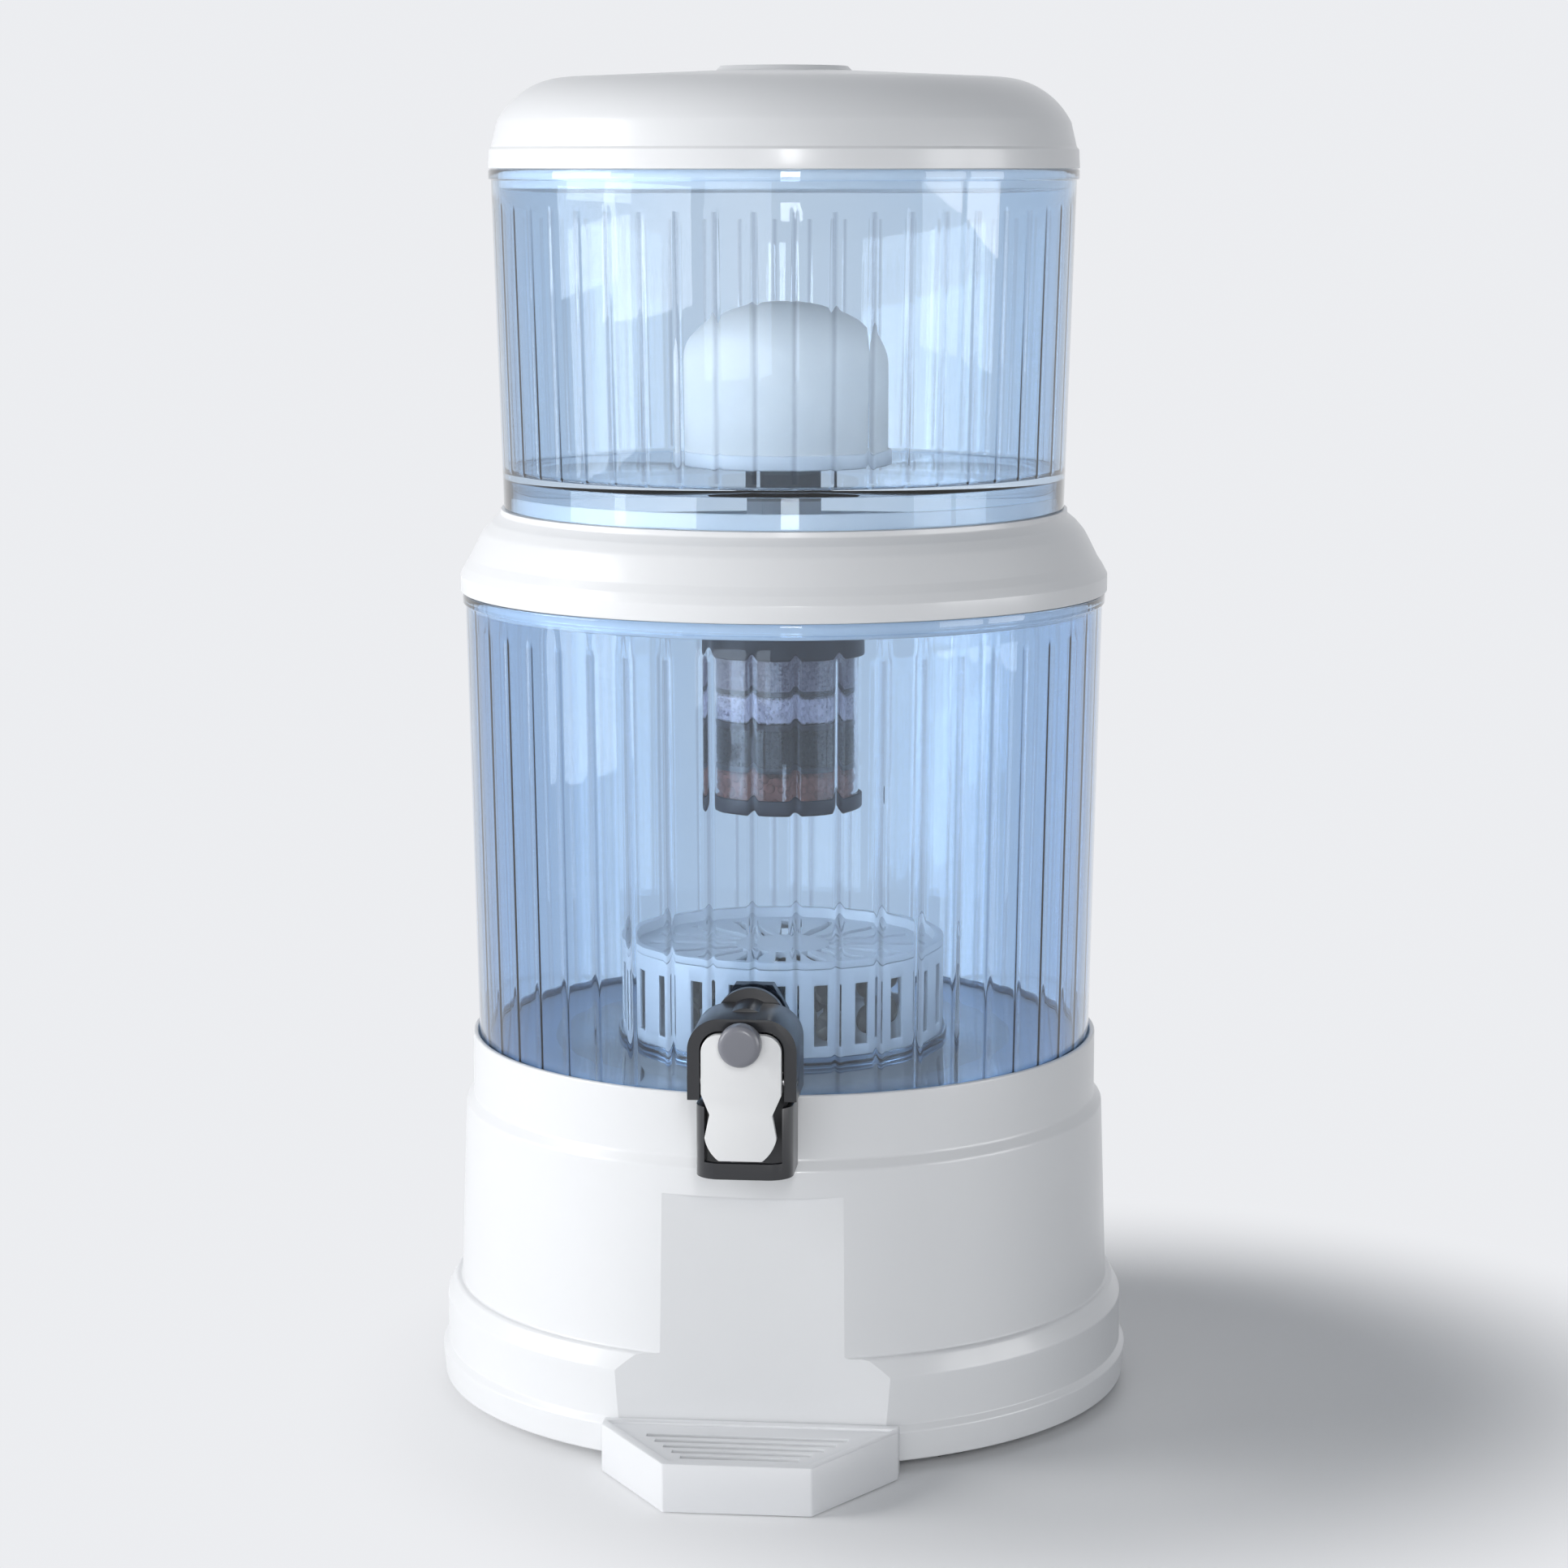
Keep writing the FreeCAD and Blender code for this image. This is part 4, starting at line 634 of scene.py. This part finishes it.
def fluted_tank(name, corners, low, high, inner, plastic):
    """A tank turned from its profile, with ribs on its inner wall between two heights."""
    tank = lathe(name, corners, flute_turns(FLUTES))
    weights = tank.data.attributes.new("ribbed", "FLOAT", "POINT")
    for vertex in tank.data.vertices:
        height = vertex.co.z / MM
        off_wall = math.hypot(vertex.co.x, vertex.co.y) / MM - inner(height)
        on_rib = low - 0.1 <= height <= high and -1 < off_wall < 0.4
        weights.data[vertex.index].value = float(on_rib)
    values = {"Count": float(FLUTES), "Width": RIB_WIDTH, "Height": RIB_HEIGHT,
              "Material": plastic}
    return grown(tank, build, flute_inputs, values)


print("fluted tanks: columns on each wall", len(flute_turns(FLUTES)))

# %% Upper tank
UPPER_FOOT, UPPER_FLOOR, UPPER_TOP = 385.3, 401.5, 528.5
upper_inner = inner_wall(117.9, 4.3, UPPER_FOOT, UPPER_TOP)
upper_profile = [
    (120.4, UPPER_FOOT, 0.6), (124.45, 524.0, 0.3), (125.6, 524.5, 0.5), (125.6, UPPER_TOP, 0.8),
    (122.2, UPPER_TOP, 0.8), (upper_inner(515), 515), (upper_inner(512), 512),
    (upper_inner(UPPER_FLOOR), UPPER_FLOOR, 2.0), (8.4, UPPER_FLOOR, 0.4), (8.4, 398.7, 0.4),
    (117.9, 398.7, 0.4), (117.9, UPPER_FOOT, 0.6),
]
upper_tank = fluted_tank("upper_tank_wall", upper_profile, UPPER_FLOOR, 512, upper_inner,
                         upper_plastic)
fit(upper_tank, upper_plastic, "upper_tank", "tank_plastic", "upper_tank")

# %% Lower tank
LOWER_FOOT, LOWER_FLOOR, LOWER_TOP = 152.3, 155.0, 349.5
lower_inner = inner_wall(130.9, 4.0, LOWER_FOOT, LOWER_TOP)
lower_profile = [
    (133.4, LOWER_FOOT, 1.0), (137.3, 344.5, 0.3), (138.4, 345.0, 0.5), (138.4, LOWER_TOP, 0.8),
    (134.9, LOWER_TOP, 0.8), (lower_inner(337), 337), (lower_inner(334), 334),
    (lower_inner(LOWER_FLOOR), LOWER_FLOOR, 2.0), (72.6, LOWER_FLOOR), (72.6, 158.0, 0.6),
    (70.6, 158.0, 0.6), (70.6, LOWER_FLOOR), (0, LOWER_FLOOR), (0, LOWER_FOOT),
]
lower_tank = fluted_tank("lower_tank_wall", lower_profile, LOWER_FLOOR, 334, lower_inner,
                         lower_plastic_shaded)
fit(lower_tank, lower_plastic_shaded, "lower_tank", "tank_plastic", "lower_tank")

# %% [markdown]
# ## The middle cover
#
# The cover bridges the two tanks with a soft convex shoulder. The light runs along it, so its curve
# has many steps, and the band at its foot has a fine rounded edge.

# %% Middle cover
COVER_FOOT, COVER_TOP = 349.8, 385.0
cover_profile = [
    (139.3, COVER_FOOT, 0.6), (139.3, COVER_FOOT + 7.2, 1.0), (137.3, COVER_FOOT + 11, 5),
    (135.0, COVER_FOOT + 14.5, 8), (132.3, COVER_FOOT + 20, 12), (129.4, COVER_FOOT + 25.5, 10),
    (125.9, COVER_FOOT + 29.6, 5), (121.8, COVER_TOP - 2.3, 1.2), (121.8, COVER_TOP, 0.4),
    (117.5, COVER_TOP), (117.5, COVER_TOP + 7, 0.6), (115.0, COVER_TOP + 7, 0.6),
    (115.0, COVER_TOP), (95, COVER_TOP, 0.8), (95, COVER_TOP - 2.5, 0.8),
    (118.3, COVER_TOP - 2.5, 3), (131.86, COVER_FOOT + 7.2, 2), (131.86, COVER_FOOT - 7, 0.6),
    (134.36, COVER_FOOT - 7, 0.6), (134.36, COVER_FOOT),
]
cover = lathe("cover_shoulder", cover_profile, BIG_ROUND, 5)
fit(cover, white_plastic, "cover", "white_plastic", "middle_cover")

# %% [markdown]
# ## The ceramic dome
#
# The dome is the heart of the filter: a thick hollow shell of fired clay on a white base plate.

# %% Ceramic dome and its base
dome_profile = [
    (35.8, 406.5), (44.8, 406.5, 0.8), *sweep_points(0, 447, 44.8, 28, 0, 90, 24)[:-1],
    (0, 475), (0, 466), *reversed(sweep_points(0, 447, 35.8, 19, 0, 90, 12)[:-1]),
]
dome = lathe("ceramic_shell", dome_profile, even_turns(160))
fit(dome, ceramic_clay, "upper_tank", "ceramic_white", "ceramic_dome")

base_profile = [
    (3.5, 372, 0.4), (8, 372, 0.8), (8, 403.5), (46.45, 403.5, 0.8), (46.45, 410, 0.8),
    (44.85, 410, 0.3), (44.85, 406.5), (3.5, 406.5),
]
dome_base = lathe("dome_plate", base_profile, SMALL_ROUND)
fit(dome_base, white_plastic, "upper_tank", "white_plastic", "dome_base")

# %% [markdown]
# ## The stand
#
# The stand is one moulding: a foot flange, a tapering drum and a collar for the lower tank, hollow
# inside, with a flat panel in front that leans back a little. It is turned on the lathe as a full
# body, and what isn't there is carved away with Booleans: the panel's wedge, the hollow behind it and
# the slot for the tray's tongue. The hollow has a wedge of its own, so the panel keeps an even wall.

# %% Carving
def block(name, low, high, front, back_low, back_high):
    """A block between two (x, z) corners in millimetres, whose back may lean."""
    shape = bmesh.new()
    corners = [(low[0], front, low[1]), (high[0], front, low[1]), (high[0], back_low, low[1]),
               (low[0], back_low, low[1]), (low[0], front, high[1]), (high[0], front, high[1]),
               (high[0], back_high, high[1]), (low[0], back_high, high[1])]
    points = [shape.verts.new(Vector(corner) * MM) for corner in corners]
    for face in ((0, 1, 2, 3), (4, 5, 6, 7), (0, 1, 5, 4), (1, 2, 6, 5), (2, 3, 7, 6), (3, 0, 4, 7)):
        shape.faces.new([points[index] for index in face])
    return close_mesh(name, shape)


def carved(piece, tools, sharp):
    """What is left of a piece when the tools are taken away from it."""
    for tool in tools:
        cut = piece.modifiers.new(tool.name, "BOOLEAN")
        cut.operation, cut.solver, cut.object = "DIFFERENCE", "EXACT", tool
    return baked(piece, sharp, *tools)


print("carving tools ready")

# %% Stand
PANEL_WALL = 2.8
PANEL_FOOT, PANEL_TOP = 4.5, 115.0
PANEL_PLACE, PANEL_LEAN = -138.4, 3.6


def panel_front(height, behind):
    """How far forward the leaning panel stands at a height, or a wall's thickness behind it."""
    lean = (height - PANEL_FOOT) * PANEL_LEAN / (PANEL_TOP - PANEL_FOOT)
    return PANEL_PLACE + lean + behind


def panel_wedge(name, top, behind):
    """What stands in front of the panel up to a height, to be carved away."""
    low = -6
    return block(name, (-95, low), (95, top), -180, panel_front(low, behind),
                 panel_front(top, behind))


hollow = lathe("stand_hollow", [
    (0, 0), (126, 0), (126, 7.3), (145.8, 7.3, 1.5), (145.8, 40, 2.0), (136.7, 44.7, 2.0),
    (136.7, 123.2, 2.0), (133.4, 127.2, 2.0), (133.4, 149, 1.0), (100, 149, 0.5), (100, 156),
    (0, 156),
], BIG_ROUND, 6)
hollow = carved(hollow, [panel_wedge("inner_wedge", PANEL_TOP + PANEL_WALL, PANEL_WALL)], 12)
body = lathe("stand_wall", [
    (0, 4.5), (150, 4.5, 1.2), (151, 17, 1.2), (148.6, 19.5, 0.8), (148.6, 40, 3.0),
    (145, 47.5, 2.0), (142.2, 47.5, 0.8), (139.5, 126, 2.5), (136.2, 130, 2.5), (136.2, 157, 0.9),
    (133.9, 157, 0.7), (133.9, 152), (0, 152),
], BIG_ROUND, 8)
slot = block("tongue_slot", (-45.4, 8.5), (45.4, 14.1), -150, -128, -128)
stand = carved(body, [panel_wedge("outer_wedge", PANEL_TOP, 0.0), hollow, slot], 13)
fit(stand, white_plastic, "stand", "white_plastic", "stand_shell")

# %% [markdown]
# ## Pieces that keep their CAD shape, with softened edges
#
# The foot ring, the tray, the grille, the stone case and the tap already have the right faces. What
# they lack is the small rounding that every moulded edge has. The corners of a copy of each CAD mesh
# are merged, its flat faces are joined again, and a bevel rounds what is left. The tray and the
# grille keep their CAD triangles, because a bevel on joined faces left a hole in the tray. The copy
# then stands for the node.

# %% Softened copies of CAD pieces
BEVEL_STEPS, BEVEL_ANGLE = 3, 28


def welded(node, name, gap, joined=True):
    """A copy of a CAD node's mesh, its corners merged over a gap and its flat faces joined."""
    shape = bmesh.new()
    shape.from_mesh(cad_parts[node].data)
    bmesh.ops.remove_doubles(shape, verts=shape.verts, dist=gap)
    if joined:
        bmesh.ops.dissolve_limit(shape, angle_limit=math.radians(1), verts=shape.verts,
                                 edges=shape.edges)
    return close_mesh(name, shape)


def softened(node, name, width, joined):
    """A copy of a CAD node's mesh with its edges rounded by a width in millimetres."""
    piece = welded(node, name, 0.004 * MM, joined)
    bevel = piece.modifiers.new("edges", "BEVEL")
    bevel.width = width * MM
    bevel.segments = BEVEL_STEPS
    bevel.limit_method = "ANGLE"
    bevel.angle_limit = math.radians(BEVEL_ANGLE)
    bevel.use_clamp_overlap = True
    return baked(piece, SHARP_ANGLE)


moulded_pieces = [
    ("foot_ring", "foot_band", 0.6, black_rubber, "stand", "soft_black"),
    ("drip_tray", "tray_shell", 0.7, tray_plastic, "tray", "white_plastic"),
    ("drip_grille", "tray_grille", 0.3, tray_plastic, "grille", "white_plastic"),
    ("stone_case", "case_drum", 0.5, white_plastic, "stone_case", "white_plastic"),
    ("stone_case_lid", "case_cap", 0.5, white_plastic, "stone_case_lid", "white_plastic"),
    ("tap_body", "tap_housing", 0.45, charcoal_plastic, "lower_tank", "tap_charcoal"),
    ("tap_lever", "tap_paddle", 0.6, pearl_plastic, "lever", "lever_pearl"),
]
for node, name, width, finish, rides_on, slot_name in moulded_pieces:
    piece = softened(node, name, width, joined=finish is not tray_plastic)
    fit(piece, finish, rides_on, slot_name, node)

# %% [markdown]
# ## The knob
#
# The knob is turned: a round face with a wide rounding at its front.

# %% Knob on the tap's axis
TAP_HEIGHT = 188 * MM


def on_tap(piece):
    """Turn a piece from the vertical axis onto the tap's shank, pointing forward."""
    for vertex in piece.data.vertices:
        x, y, z = vertex.co
        vertex.co = (x, -z, y + TAP_HEIGHT)
    return piece


knob_profile = [
    (2.25, 178.2), (8.5, 178.2, 0.8), (8.5, 186, 2.6), (0, 186), (0, 182.05), (2.25, 182.05),
]
knob = on_tap(lathe("tap_button", knob_profile, even_turns(96), 6))
fit(knob, knob_plastic, "valve", "knob_grey", "tap_knob")

# %% [markdown]
# ## The cartridge
#
# The cartridge hangs under the ceramic dome: a dark cap, a clear tube with four layers of media
# between felt pads, and a dark cap below.

# %% Cartridge caps and tube
cap_profile = [
    (8.1, 375.2), (32.45, 375.2), (32.45, 324.4, 0.3), (34.9, 324.4, 0.8), (34.9, 377.4, 1.6),
    (12.5, 377.4), (12.5, 388.4, 0.8), (8.1, 388.4, 0.4),
]
cartridge_cap = lathe("cartridge_top", cap_profile, SMALL_ROUND)
fit(cartridge_cap, black_plastic, "cartridge", "dark_cap", "cartridge_cap")
tube_profile = [(30.85, 260.0, 0.2), (32.3, 260.0, 0.2), (32.3, 364.4, 0.2), (30.85, 364.4, 0.2)]
tube = lathe("cartridge_tube", tube_profile, SMALL_ROUND)
fit(tube, clear_plastic, "cartridge", "clear_plastic", "cartridge_shell")
cup_profile = [
    (4, 256.5, 0.4), (33.9, 256.5, 1.4), (33.9, 263.3, 0.6), (32.45, 263.3, 0.2), (32.45, 260.0),
    (4, 260.0, 0.3),
]
cup = lathe("cartridge_cup", cup_profile, SMALL_ROUND)
fit(cup, black_plastic, "cartridge", "dark_cap", "cartridge_base")

# %% [markdown]
# ### Layers of grains
#
# Clay balls, zeolite and carbon are loose grains, and against the tube's wall each one shows. Only
# those at the surface are seen, so Geometry Nodes scatter them over a core that is one grain smaller
# than the layer. Poisson distances keep them from sitting in each other, as in a packed bed.

# %% Geometry Nodes: grains on a core
bed, core, grain_inputs = new_group("packed_grains", ("Spacing", "Float", 4 * MM),
                                    ("Radius", "Float", 2 * MM), ("Detail", "Int", 2),
                                    ("Seed", "Int", 1))
spots = bed.add("DistributePointsOnFaces", {"distribute_method": "POISSON"},
                {"Mesh": core, "Distance Min": core.out("Spacing"), "Density Max": 2.5e6,
                 "Seed": core.out("Seed")})
ball = bed.add("MeshIcoSphere", {}, {"Radius": core.out("Radius"),
                                     "Subdivisions": core.out("Detail")})
turned = bed.add("RandomValue", {"data_type": "FLOAT_VECTOR"},
                 {0: (0, 0, 0), 1: (6.28, 6.28, 6.28), "Seed": core.out("Seed")})
sized = bed.add("RandomValue", {"data_type": "FLOAT"},
                {2: 0.72, 3: 1.0, "Seed": core.out("Seed")}, 1)
grains = bed.add("InstanceOnPoints", {}, {"Points": spots, "Instance": ball, "Rotation": turned,
                                          "Scale": sized})
end_group(bed, core, bed.add("JoinGeometry", {}, {0: [core, grains]}))

# %% Clay balls, zeolite and carbon
BED_RADIUS = 30.7


def layer(name, low, high, grain, spacing, detail, seed, material, sharp):
    """A bed of grains between two heights, in millimetres, that just fits the tube."""
    wide = BED_RADIUS - grain
    bed_core = lathe(name, [(0, low + grain), (wide, low + grain), (wide, high - grain),
                            (0, high - grain)], even_turns(64))
    values = {"Spacing": spacing * MM, "Radius": grain * MM, "Detail": detail, "Seed": seed,
              "Material": material}
    return grown(bed_core, bed, grain_inputs, values, sharp)


balls = layer("clay_ball_bed", 260.0, 275.0, 2.3, 4.0, 3, 3, fired_clay, 40)
fit(balls, fired_clay, "cartridge", "clay_balls", "ceramic_ball_layer")
zeolite = layer("zeolite_bed", 296.1, 308.6, 1.25, 2.1, 1, 5, zeolite_grains, 20)
fit(zeolite, zeolite_grains, "cartridge", "zeolite", "zeolite_layer")
carbon = layer("carbon_bed", 277.3, 293.8, 1.0, 1.7, 1, 7, carbon_grains, 20)
fit(carbon, carbon_grains, "cartridge", "carbon", "carbon_layer")

# %% [markdown]
# ### Pebbles and the spring
#
# The stones in the case are rough blocks in the CAD. Three rounds of subdivision wear their corners
# off, and each stays inside its own block. The tap's spring is a plain sleeve in the CAD, and here
# it is a wire that Geometry Nodes wind along a spiral.

# %% Pebbles
WEAR_ROUNDS = 3
ALL_SMOOTH = 180

blocks = welded("mineral_stones", "case_pebbles", 0.01 * MM)
wear = blocks.modifiers.new("wear", "SUBSURF")
wear.levels = wear.render_levels = WEAR_ROUNDS
pebbles = baked(blocks, ALL_SMOOTH)
fit(pebbles, pebble_stone, "stone_case", "pebbles", "mineral_stones")

# %% Geometry Nodes: spring
SPRING_TURNS, SPRING_WIRE = 6.0, 0.32

coil, asked, spring_inputs = new_group("wound_spring", ("Turns", "Float", SPRING_TURNS),
                                       ("Radius", "Float", 4 * MM), ("Length", "Float", 8 * MM),
                                       ("Wire", "Float", SPRING_WIRE * MM))
helix = coil.add("CurveSpiral", {}, {"Resolution": 24, "Rotations": asked.out("Turns"),
                                     "Start Radius": asked.out("Radius"),
                                     "End Radius": asked.out("Radius"),
                                     "Height": asked.out("Length")})
section = coil.add("CurvePrimitiveCircle", {}, {"Resolution": 8, "Radius": asked.out("Wire")})
wire = coil.add("CurveToMesh", {}, {"Curve": helix, "Profile Curve": section, "Fill Caps": True})
end_group(coil, asked, wire)

# %% Spring in its chamber
room_low, room_high = (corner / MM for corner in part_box("tap_spring"))
outer = (room_high.x - room_low.x) / 2
tap_coil = bpy.data.objects.new("tap_coil", bpy.data.meshes.new("tap_coil"))
bpy.context.scene.collection.objects.link(tap_coil)
spring = grown(tap_coil, coil, spring_inputs, {
    "Turns": SPRING_TURNS, "Radius": (outer - SPRING_WIRE) * MM,
    "Length": (room_high.y - room_low.y - 2 * SPRING_WIRE) * MM, "Wire": SPRING_WIRE * MM,
    "Material": brushed_steel}, 60)
for vertex in spring.data.vertices:
    x, y, z = vertex.co
    vertex.co = (x, (room_high.y - SPRING_WIRE) * MM - z, y + TAP_HEIGHT)
fit(spring, brushed_steel, "valve", "steel", "tap_spring")

# %% [markdown]
# ## Finishes for the nodes that stay
#
# Small and hidden pieces keep their CAD mesh. Each still gets the finish of what it is made of.

# %% Carried-over nodes
kept_nodes = {
    "stem_gasket_upper": grey_silicone, "stem_gasket_lower": grey_silicone,
    "stem_nut": white_plastic, "sand_layer": sand_grains, "cartridge_pads": filter_felt,
    "tap_stem": charcoal_plastic, "tap_washer": black_rubber, "tap_bonnet": charcoal_plastic,
    "tap_pin": brushed_steel, "tap_nut": charcoal_plastic, "tap_gasket_outer": black_rubber,
    "tap_gasket_inner": black_rubber,
}
for node, material in kept_nodes.items():
    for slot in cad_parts[node].material_slots:
        slot.material = material
print("carried over:", len(kept_nodes))

# %% [markdown]
# ## The floor
#
# A plain pale table top. Around the filter it is a real surface, which keeps the shadow on the right
# and the dark line under the foot. Further out it fades into the backdrop's colour, only for rays
# that make the picture, so no horizon cuts the view behind the tanks.

# %% Floor
FLOOR_RADIUS = 12
SHADOW_MIDDLE = (0.12, -0.02, 0)
FADE_FROM, FADE_TO = 0.15, 0.33


def table_top():
    """A pale table that fades into the backdrop's colour away from the filter's shadow."""
    steady = {"IOR": 1.4, "Specular IOR Level": 0.15}
    material, tree, shader, place = new_finish("table_top", steady)
    cloud = noise(tree, place, 0.4)
    feed(tree, shader, Roughness=cloud * 0.1 + 0.45,
         Base_Color=tree.blend(cloud, (0.86, 0.86, 0.87, 1), (0.83, 0.84, 0.85, 1)))
    away = tree.add("VectorMath", {"operation": "DISTANCE"}, {0: place, 1: SHADOW_MIDDLE}, "Value")
    fade = tree.add("MapRange", {"interpolation_type": "SMOOTHSTEP"},
                    {"Value": away, "From Min": FADE_FROM, "From Max": FADE_TO, "To Min": 0.0,
                     "To Max": 1.0})
    paper = tree.add("Emission", {}, {"Color": BACKDROP, "Strength": 1.0})
    surface = Wire(tree, shader)
    shown = tree.add("MixShader", {}, {0: fade * seen_by_eye(tree), 1: surface, 2: paper})
    end = material.node_tree.nodes["Material Output"]
    material.node_tree.links.new(shown.socket, end.inputs["Surface"])
    return material


floor_shape = bmesh.new()
rim = [floor_shape.verts.new((FLOOR_RADIUS * math.cos(turn), FLOOR_RADIUS * math.sin(turn), 0))
       for turn in even_turns(64)]
floor_shape.faces.new(rim)
floor = close_mesh("floor", floor_shape)
floor.data.materials.append(table_top())
print(f"floor is {2 * FLOOR_RADIUS} m across")
